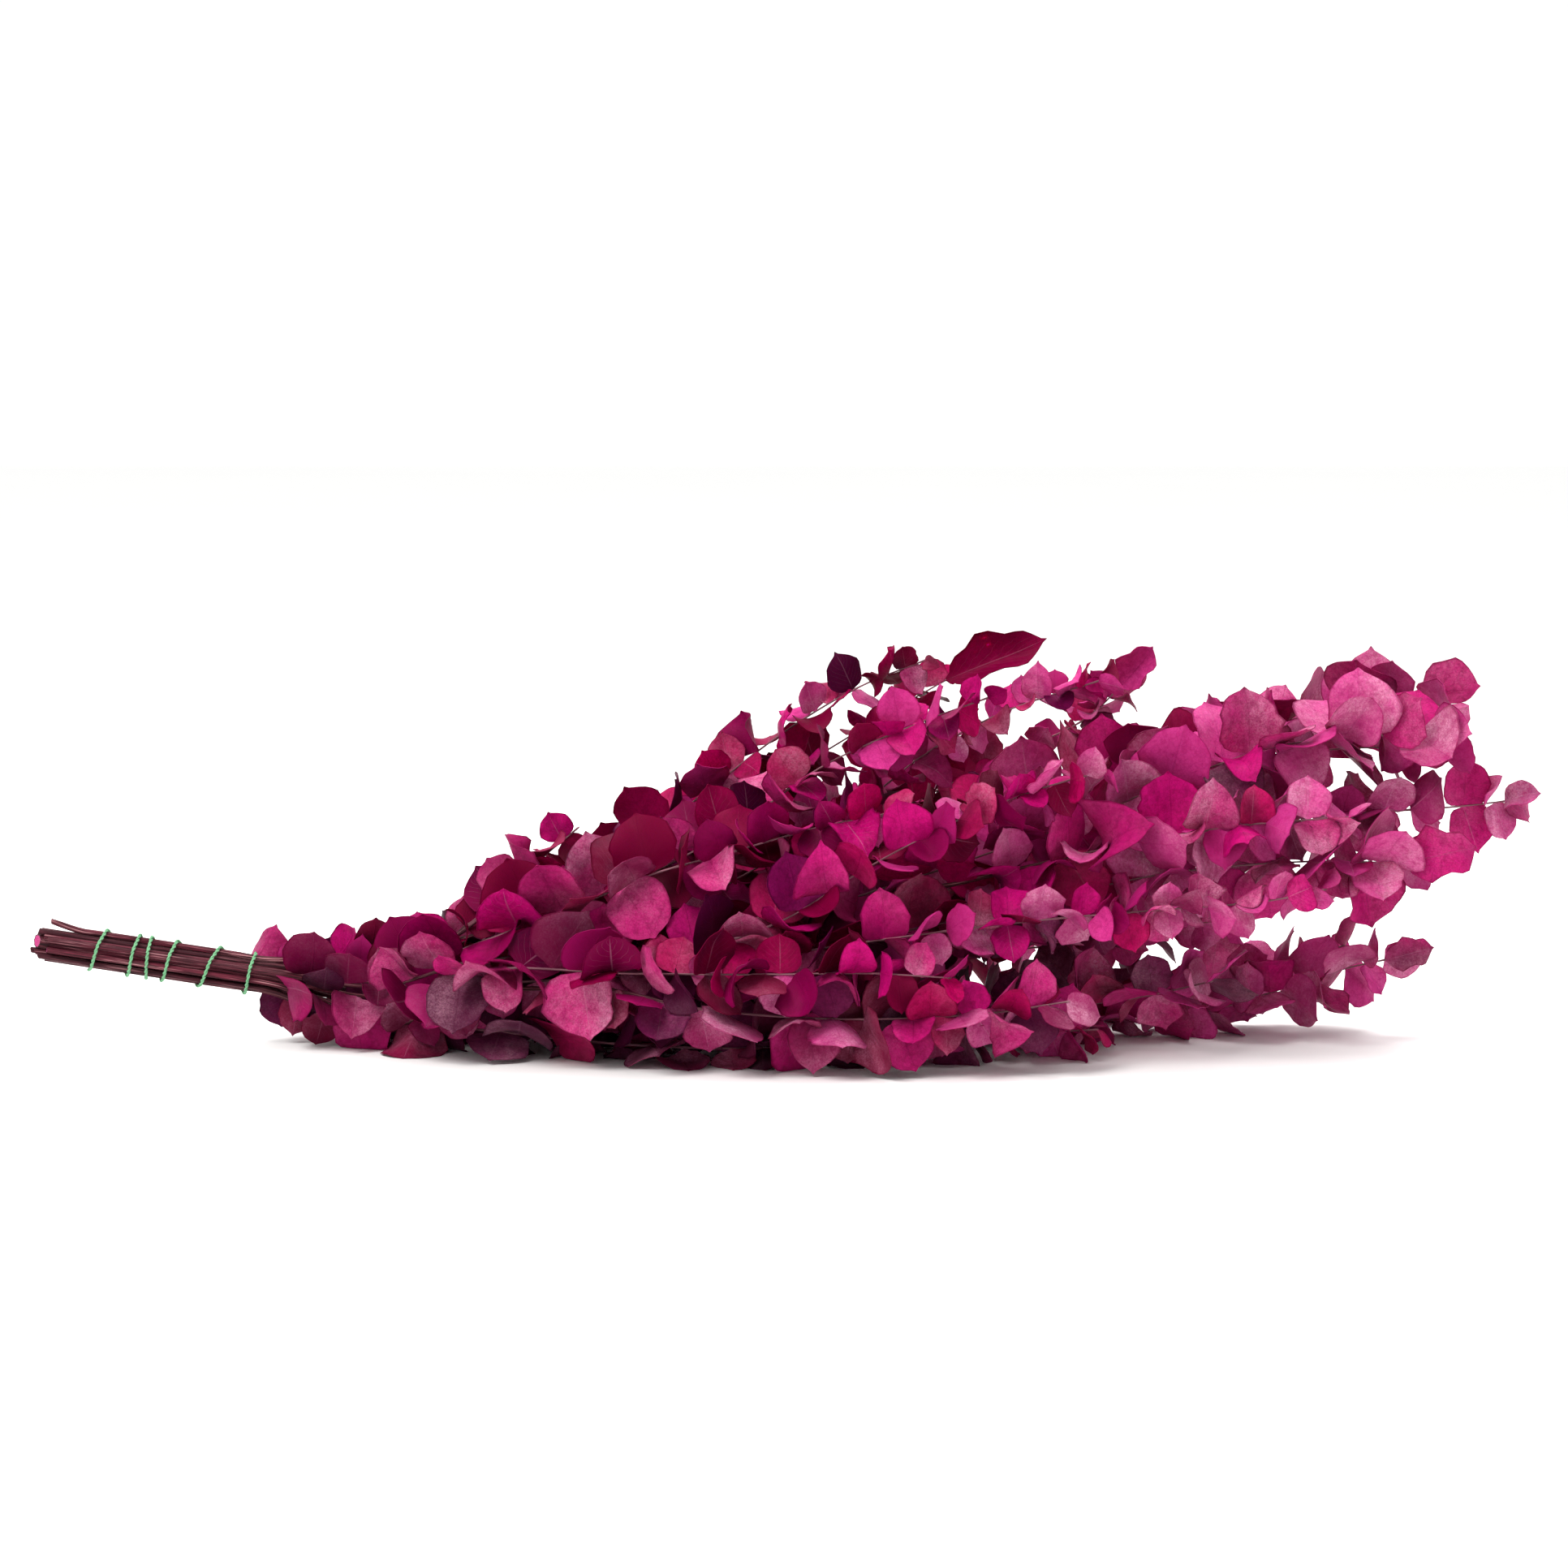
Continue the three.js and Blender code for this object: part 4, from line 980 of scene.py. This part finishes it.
def add_leaf_body(body, leaf, own):
    look = np.empty((2 * COUNT, 4))
    look[:, :3] = leaf_tones(leaf)
    look[:, 3] = LEAF_SIDE
    body.add(leaf_points(leaf), LEAF_FACES, leaf_kind(leaf, own), LEAF_UV, look)


def add_stem_body(body, shoot, is_branch):
    """A ridged stem that swells at each leaf pair, with a cut end unless it is a branch."""
    following = draws(shoot.number, STEM_DRAWS)
    thick = shoot.full > THIN_STEM
    sides = THICK_RIDGES * 2 if thick else THIN_RIDGES * 2
    total = shoot.route.length
    count = int(total / STEM_RING)
    stops = np.linspace(0, total, count)
    turns = np.arange(sides) * 2 * math.pi / sides
    drift = following() * ANY_TURN
    points, radii = [], []
    for at in stops:
        points.append(shoot.route.at(at)[0])
        swell = sum(math.exp(-((at - where) / NODE_LENGTH) ** 2) for where, _ in shoot.stations)
        swell = 1 + NODE_SWELL * min(swell, 1)
        ridge = RIDGE * np.cos(turns * sides / 2) * (1 if at < shoot.thins * 2 else YOUNG_RIDGE)
        wander = (1 + OVAL * np.sin(turns * 2 + at / OVAL_PITCH + drift)
                  + WARP * np.sin(turns * 3 - at / WARP_PITCH))
        slender = 1 - SLENDER * min(1, max(0, (at - shoot.thins) / SLENDER_OVER))
        radii.append(slender * shoot.radius(at) * (1 + ridge) * wander * swell)
    rings, faces = tube(points, radii, sides)
    along = np.repeat(stops, sides)
    uv = np.stack([along / STEM_UV, np.tile(np.arange(sides) / sides, count)], -1)
    look = np.empty((len(rings), 4))
    look[:] = (0, following(), following(), 0)
    look[:, 0] = along / total
    if not is_branch:
        slope = CUT_SLOPE_THICK if thick else (following() * 2 - 1) * CUT_SLOPE
        lean = following() * ANY_TURN
        first = rings[:sides] - points[0]
        rings[:sides, 0] += -slope * first[:, 1] if thick else slope * (
            first[:, 1] * math.cos(lean) + first[:, 2] * math.sin(lean))
        add_cut(body, rings[:sides].copy(), look[0])
    body.add(rings, faces, BARK, uv, look)
    add_tip(body, rings[-sides:], look[-1])


def add_cut(body, ring, look):
    """The cut end: the wood inside the bark, a little hollow at the pith."""
    centre = ring.mean(0)
    sides = len(ring)
    points = [centre + (ring - centre) * share for share in CUT_RINGS]
    for share, circle in zip(CUT_RINGS, points):
        circle[:, 0] += PITH_DEPTH * (1 - share)
    points.append((centre + vec(PITH_DEPTH, 0, 0))[None])
    last = (len(CUT_RINGS) - 1) * sides
    faces = ring_faces(len(CUT_RINGS), sides)
    faces += [(last + k, last + (k + 1) % sides, last + sides) for k in range(sides)]
    flat = np.vstack(points)
    share = np.concatenate([np.repeat(CUT_RINGS, sides), [0]])
    uv = np.stack([share, np.zeros(len(flat))], -1)
    body.add(flat, faces, WOOD, uv, np.tile(look, (len(flat), 1)))


def add_tip(body, ring, look):
    """The bud that closes a stem's tip."""
    sides = len(ring)
    centre = ring.mean(0)
    out = unit(np.cross(ring[1] - centre, ring[0] - centre))
    end = centre - out * BUD_LENGTH
    shoulder = centre + (ring - centre) * BUD_WIDTH - out * BUD_LENGTH * BUD_SHOULDER
    points = np.vstack([ring, shoulder, end[None]])
    faces = [(k, k + sides, (k + 1) % sides + sides, (k + 1) % sides) for k in range(sides)]
    faces += [(k + sides, 2 * sides, (k + 1) % sides + sides) for k in range(sides)]
    uv = np.zeros((len(points), 2))
    body.add(points, faces, BARK, uv, np.tile(look, (len(points), 1)))


# ---- The thread: two plies twisted round each other, along the frame's own windings ----
def tight_ring(low_side):
    """Half a turn of a tight line round the tied stems: offsets from the tie's centre, from the
    bundle's underside up its front or from its top down its back, and shares of the way."""
    circles = [(slot_offset(stem["slot"]), stem_radius(stem)) for stem in STEMS]
    points = []
    for k in range(THREAD_HALF_TURN + 1):
        angle = (-math.pi / 2 if low_side else math.pi / 2) - math.pi * k / THREAD_HALF_TURN
        out = vec(0, math.cos(angle), math.sin(angle))
        centre, radius = max(circles, key=lambda circle: circle[0] @ out + circle[1])
        points.append(centre + out * (radius + THREAD_HELD))
    steps = np.linalg.norm(np.diff(points, axis=0), axis=1)
    return points, np.concatenate([[0], np.cumsum(steps)]) / steps.sum()


def thread_line():
    front, back = tight_ring(True), tight_ring(False)
    points = []

    def wind(half, start, end):
        for offset, share in list(zip(*half))[:-1]:
            points.append(tie_centre(start + (end - start) * share) + offset)

    for number, (low, high) in enumerate(THREAD_PASSES):
        wind(front, low, high)
        if number + 1 < len(THREAD_PASSES):
            wind(back, high, THREAD_PASSES[number + 1][0])
    return points


def thread_body():
    body = Body()
    route = Route(smooth_line(thread_line()))
    stops = np.arange(0, route.length, PLY_RING)
    for ply in range(PLIES):
        centres = []
        for at in stops:
            point, tangent = route.at(at)
            turn = 360 * (at / PLY_PITCH + ply / PLIES)
            centres.append(point + out_of(frame_of(tangent), turn) * PLY_OFFSET)
        rings, faces = tube(centres, [[PLY]] * len(centres), PLY_SIDES)
        last = len(rings) - 1
        ends = [tuple(range(PLY_SIDES)), tuple(range(last, last - PLY_SIDES, -1))]
        uv = np.stack([np.repeat(stops, PLY_SIDES) / THREAD_UV,
                       np.tile(np.arange(PLY_SIDES) / PLY_SIDES, len(stops))], -1)
        look = np.tile([0.5, 0.5, ply / PLIES, 0.0], (len(rings), 1))
        body.add(rings, faces + ends, 0, uv, look)
    return body


# ---- Materials ----
class Nodes:
    """Short ways to make and join a material's nodes."""

    def __init__(self, name):
        self.material = bpy.data.materials.new(name)
        self.material.use_nodes = True
        self.tree = self.material.node_tree
        self.shader = self.tree.nodes["Principled BSDF"].inputs

    def put(self, socket, value):
        if isinstance(value, bpy.types.NodeSocket):
            self.tree.links.new(value, socket)
        elif isinstance(value, tuple) and socket.type == "RGBA":
            socket.default_value = (*value, 1)
        else:
            socket.default_value = value

    def add(self, kind, out=0, settings=None, values=(), **inputs):
        """An output of a new node, whose inputs are given by place or by name."""
        node = self.tree.nodes.new("ShaderNode" + kind)
        for name, value in (settings or {}).items():
            setattr(node, name, value)
        for place, value in enumerate(values):
            self.put(node.inputs[place], value)
        for name, value in inputs.items():
            self.put(node.inputs[name.replace("_", " ")], value)
        return node.outputs[out]

    def math(self, operation, *values):
        return self.add("Math", 0, {"operation": operation}, values)

    def times(self, first, second):
        return self.math("MULTIPLY", first, second)

    def times_plus(self, first, second, more):
        return self.math("MULTIPLY_ADD", first, second, more)

    def mix(self, share, first, second):
        node = self.add("Mix", 2, {"data_type": "RGBA"}, [share]).node
        self.put(node.inputs[6], first)
        self.put(node.inputs[7], second)
        return node.outputs[2]

    def ramp(self, value, low, high, to_low=0.0, to_high=1.0):
        settings = {"interpolation_type": "SMOOTHSTEP"}
        return self.add("MapRange", 0, settings, Value=value, From_Min=low, From_Max=high,
                        To_Min=to_low, To_Max=to_high)

    def noise(self, pattern, shift=0.0, vector=None):
        scale, detail, roughness, distortion = PATTERNS[pattern]
        return self.add("TexNoise", 0, {"noise_dimensions": "4D"}, Vector=vector or self.place,
                        W=shift, Scale=scale, Detail=detail, Roughness=roughness,
                        Distortion=distortion)

    @property
    def place(self):
        return self.add("TexCoord", 3)

    def look(self):
        """The tone, dust and patch draws of this leaf, and 1 on its upper face."""
        node = self.add("Attribute", 0, {"attribute_name": "look"}).node
        parts = self.add("SeparateColor", 0, None, [node.outputs["Color"]]).node
        return *parts.outputs, node.outputs["Alpha"]

    def surface(self):
        """How far along and how far round or across this place is."""
        uv = self.add("UVMap", 0, {"uv_map": "Surface"})
        return self.add("SeparateXYZ", 0, None, [uv]).node.outputs[:2]

    def finish(self, relief=None, **inputs):
        """Fills the shader's inputs. relief: height, distance and strength of its bump."""
        for name, value in inputs.items():
            self.put(self.shader[name.replace("_", " ")], value)
        if relief:
            height, distance, strength = relief
            self.put(self.shader["Normal"], self.add(
                "Bump", 0, None, Height=height, Distance=distance, Strength=strength))
        return self.material


def leaf_material(name, shaded_tone, lit, plum, dusty):
    n = Nodes(name)
    tone, dust, patch, upper = n.look()
    along, across = n.surface()
    off = n.math("ABSOLUTE", n.times_plus(across, 2.0, -1.0))
    shift = n.times(patch, 40.0)

    # Painted shade and painted light as well as the leaf's own spread of colour: each leaf goes
    # from its shaded colour to its lit one by large clouds and by its tone.
    clouds = n.noise("clouds", shift)
    blend = n.times_plus(clouds, 0.5, n.times_plus(tone, 1.1, -0.3))
    colour = n.mix(n.ramp(blend, 0.05, 0.8), shaded_tone, lit)
    stains = n.ramp(n.noise("stains", shift), 0.48, 0.68)
    stained = n.times(stains, n.ramp(patch, 0.35, 0.95, 0.0, 0.85))
    colour = n.mix(stained, colour, plum)

    # The bloom is a powder that lies in drifts and on one side of a leaf more than on the other.
    powder = n.noise("powder", shift)
    drifts = n.ramp(n.noise("drifts", shift), 0.3, 0.7, 0.4, 1.0)
    bloom = n.times(n.ramp(powder, 0.30, 0.66, 0.35, 1.0), drifts)
    turn = n.times(patch, 29.0)
    lengthwise = n.times(n.math("SUBTRACT", along, 0.5), n.math("COSINE", turn))
    crosswise = n.times(n.math("SUBTRACT", across, 0.5), n.math("SINE", turn))
    slope = n.math("SUBTRACT", n.math("ADD", lengthwise, crosswise), 0.25)
    slope = n.ramp(n.times_plus(clouds, 0.5, slope), -0.2, 0.3, 0.35, 1.0)
    amount = n.times(n.ramp(dust, 0.15, 0.85), slope)
    amount = n.times(amount, n.ramp(upper, 0.0, 1.0, 0.75, 1.0))
    bloomed = n.times(bloom, amount)
    colour = n.mix(bloomed, colour, dusty)
    for pattern, ends in (("grain", GRAIN_ENDS), ("mottle", MOTTLE_ENDS)):
        colour = n.mix(n.ramp(n.noise(pattern, shift), *ends), colour, shaded_tone)

    slant = n.times_plus(off, -0.42, along)
    wave = n.times_plus(slant, 8.0, n.times(n.noise("wander", shift), 1.1))
    near = n.math("ABSOLUTE", n.math("SUBTRACT", n.math("FRACT", wave), 0.5))
    laterals = n.times(n.ramp(near, 0.0, 0.05, 1.0, 0.0), n.ramp(off, 0.6, 0.95, 1.0, 0.0))
    midrib = n.ramp(off, 0.010, 0.045, 1.0, 0.0)
    edges = {"feature": "DISTANCE_TO_EDGE"}
    cells = n.add("TexVoronoi", 0, edges, Vector=n.place, Scale=NET_SCALE)
    net = n.ramp(cells, 0.0, 0.14, 1.0, 0.0)
    veins = n.math("MAXIMUM", midrib, n.times(laterals, LATERALS_SHOW))
    vein_colour = n.mix(n.ramp(patch, 0.6, 0.8), shaded_tone, dusty)
    colour = n.mix(n.times(veins, VEINS_SHOW), colour, vein_colour)
    colour = n.mix(n.times(net, NET_SHOWS), colour, shaded_tone)
    colour = n.mix(n.ramp(off, 0.90, 1.0, 0.0, RIM_SHOWS), colour, shaded_tone)

    relief = n.times_plus(veins, 1.0, n.times(net, 0.18))
    relief = n.times_plus(powder, 0.25, relief)
    return n.finish((relief, 0.00016, 0.6), Base_Color=colour,
                    Roughness=n.ramp(bloomed, 0.0, 0.7, 0.46, 0.72), Specular_IOR_Level=0.03,
                    Subsurface_Weight=0.15, Subsurface_Radius=(1.0, 0.06, 0.25),
                    Subsurface_Scale=0.0012)


def bark_material():
    n = Nodes("bark")
    along, seed, _, _ = n.look()
    length, around = n.surface()
    shift = n.times(seed, 50.0)
    line = n.add("CombineXYZ", 0, None, [n.times(length, 3.0), n.times(around, 9.0)])
    fibres = n.noise("fibres", shift, line)
    streaks = n.ramp(n.noise("streaks", shift, line), 0.54, 0.70)
    colour = n.mix(n.ramp(fibres, 0.35, 0.68), BARK_DARK, BARK_LIGHT)
    colour = n.mix(n.times(streaks, STREAKS_SHOW), colour, BARK_PALE)
    colour = n.mix(n.ramp(seed, 0.2, 0.9, 0.0, 0.5), colour, BARK_DARK)
    young = n.mix(n.ramp(fibres, 0.3, 0.7), YOUNG_DARK, YOUNG_LIGHT)
    colour = n.mix(n.ramp(along, 0.22, 0.6), colour, young)
    return n.finish((fibres, 0.0005, 0.8), Base_Color=colour, Specular_IOR_Level=0.2,
                    Roughness=n.ramp(fibres, 0.3, 0.7, 0.78, 0.58))


def wood_material():
    n = Nodes("cut_wood")
    share, _ = n.surface()
    uneven = n.times(n.noise("year_rings"), 4.0)
    rings = n.math("SINE", n.times_plus(share, 26.0, uneven))
    grain = n.noise("wood_grain")
    colour = n.mix(n.ramp(rings, -1.0, 1.0), WOOD_DARK, WOOD_LIGHT)
    colour = n.mix(n.ramp(grain, 0.4, 0.75, 0.0, 0.5), colour, WOOD_DARK)
    colour = n.mix(n.ramp(share, 0.84, 0.92), colour, BARK_DARK)
    return n.finish((grain, 0.0003, 0.7), Base_Color=colour, Roughness=0.75)


def thread_material():
    n = Nodes("mint_thread")
    length, around = n.surface()
    slanting = n.times_plus(length, 30.0, n.times(around, 8.0))
    line = n.add("CombineXYZ", 0, None, [n.times(length, 12.0), slanting])
    strands = n.noise("strands", 0.0, line)
    colour = n.mix(n.ramp(strands, 0.3, 0.7), THREAD_DARK, THREAD_LIGHT)
    colour = n.mix(n.ramp(n.noise("fuzz"), 0.5, 0.8, 0.0, 0.35), colour, THREAD_PALE)
    return n.finish((strands, 0.0002, 0.8), Base_Color=colour, Roughness=0.7,
                    Specular_IOR_Level=0.2)


def floor_material():
    n = Nodes("pale_floor")
    colour = n.mix(n.noise("floor"), FLOOR_COLOUR, FLOOR_OTHER)
    return n.finish(Base_Color=colour, Roughness=0.85, Specular_IOR_Level=0.1)


# ---- The bunch ----
def node_name(index):
    return f"leafy_stem_{index + 1:02d}"


def slot_of(node):
    for part in frame["record"]["subparts"]:
        if part["node"] == node:
            return part["material_slot"]


def take_place(piece, node):
    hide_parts(node)
    slot_of(node)
    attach(piece, "root")


def build_bunch():
    shoots = [shoot for index in range(len(STEMS)) for shoot in shoots_of(index)]
    leaves = grow_leaves(shoots)
    foliage = [leaf_material(name, *colours) for name, colours in FOLIAGE.items()]
    bark, wood = bark_material(), wood_material()
    for index in range(len(STEMS)):
        body, node = Body(), node_name(index)
        own = [shoot for shoot in shoots if shoot.stem == index]
        for shoot in own:
            add_stem_body(body, shoot, shoot is not own[0])
        for leaf in leaves:
            if leaf.shoot.stem == index:
                add_leaf_body(body, leaf, slot_of(node))
        piece = body.piece(f"eucalyptus_stem_{index + 1:02d}", [*foliage, bark, wood])
        take_place(piece, node)
    take_place(thread_body().piece("twisted_thread", [thread_material()]), "binding_thread")


# ---- The studio ----
def build_floor():
    mesh = bpy.data.meshes.new("floor")
    half = FLOOR_HALF
    mesh.from_pydata([(-half, -half, 0), (half, -half, 0), (half, half, 0), (-half, half, 0)],
                     [], [(0, 1, 2, 3)])
    mesh.materials.append(floor_material())
    floor = bpy.data.objects.new("floor", mesh)
    bpy.context.scene.collection.objects.link(floor)


def aim(thing, target):
    thing.rotation_euler = (Vector(target) - thing.location).to_track_quat("-Z", "Y").to_euler()


def add_softbox(name, place, target, size, watts):
    lamp = bpy.data.lights.new(name, "AREA")
    lamp.shape, lamp.size, lamp.size_y = "RECTANGLE", *size
    lamp.energy = watts
    lamp.color = LAMP_COLOUR
    box = bpy.data.objects.new(name, lamp)
    box.location = place
    aim(box, target)
    bpy.context.scene.collection.objects.link(box)


def build_light():
    world = bpy.data.worlds.new("studio")
    bpy.context.scene.world = world
    world.use_nodes = True
    sky = world.node_tree.nodes["Background"].inputs
    sky["Color"].default_value = (1, 1, 1, 1)
    sky["Strength"].default_value = WORLD_STRENGTH
    for name, (place, target, size, watts) in SOFTBOXES.items():
        add_softbox(name, place, target, size, watts)
    bpy.context.scene.view_settings.view_transform = "Standard"


def build_camera():
    data = bpy.data.cameras.new("camera")
    camera = bpy.data.objects.new("camera", data)
    bpy.context.scene.collection.objects.link(camera)
    data.sensor_width = SENSOR
    data.lens = SENSOR * VIEW_DISTANCE / VIEW_WIDTH
    a = math.radians(VIEW_ELEVATION)
    target = Vector(VIEW_TARGET)
    camera.location = target + Vector((0, -math.cos(a), math.sin(a))) * VIEW_DISTANCE
    aim(camera, target)
    bpy.context.scene.camera = camera


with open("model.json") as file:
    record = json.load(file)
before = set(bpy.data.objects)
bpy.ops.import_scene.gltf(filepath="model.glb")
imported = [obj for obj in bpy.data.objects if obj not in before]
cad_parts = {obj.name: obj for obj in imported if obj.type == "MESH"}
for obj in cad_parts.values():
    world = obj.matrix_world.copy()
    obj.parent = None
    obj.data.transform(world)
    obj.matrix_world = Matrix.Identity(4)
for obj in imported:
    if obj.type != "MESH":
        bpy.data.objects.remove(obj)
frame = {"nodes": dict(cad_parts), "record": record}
cad_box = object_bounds()
build_bunch()
build_floor()
build_light()
build_camera()
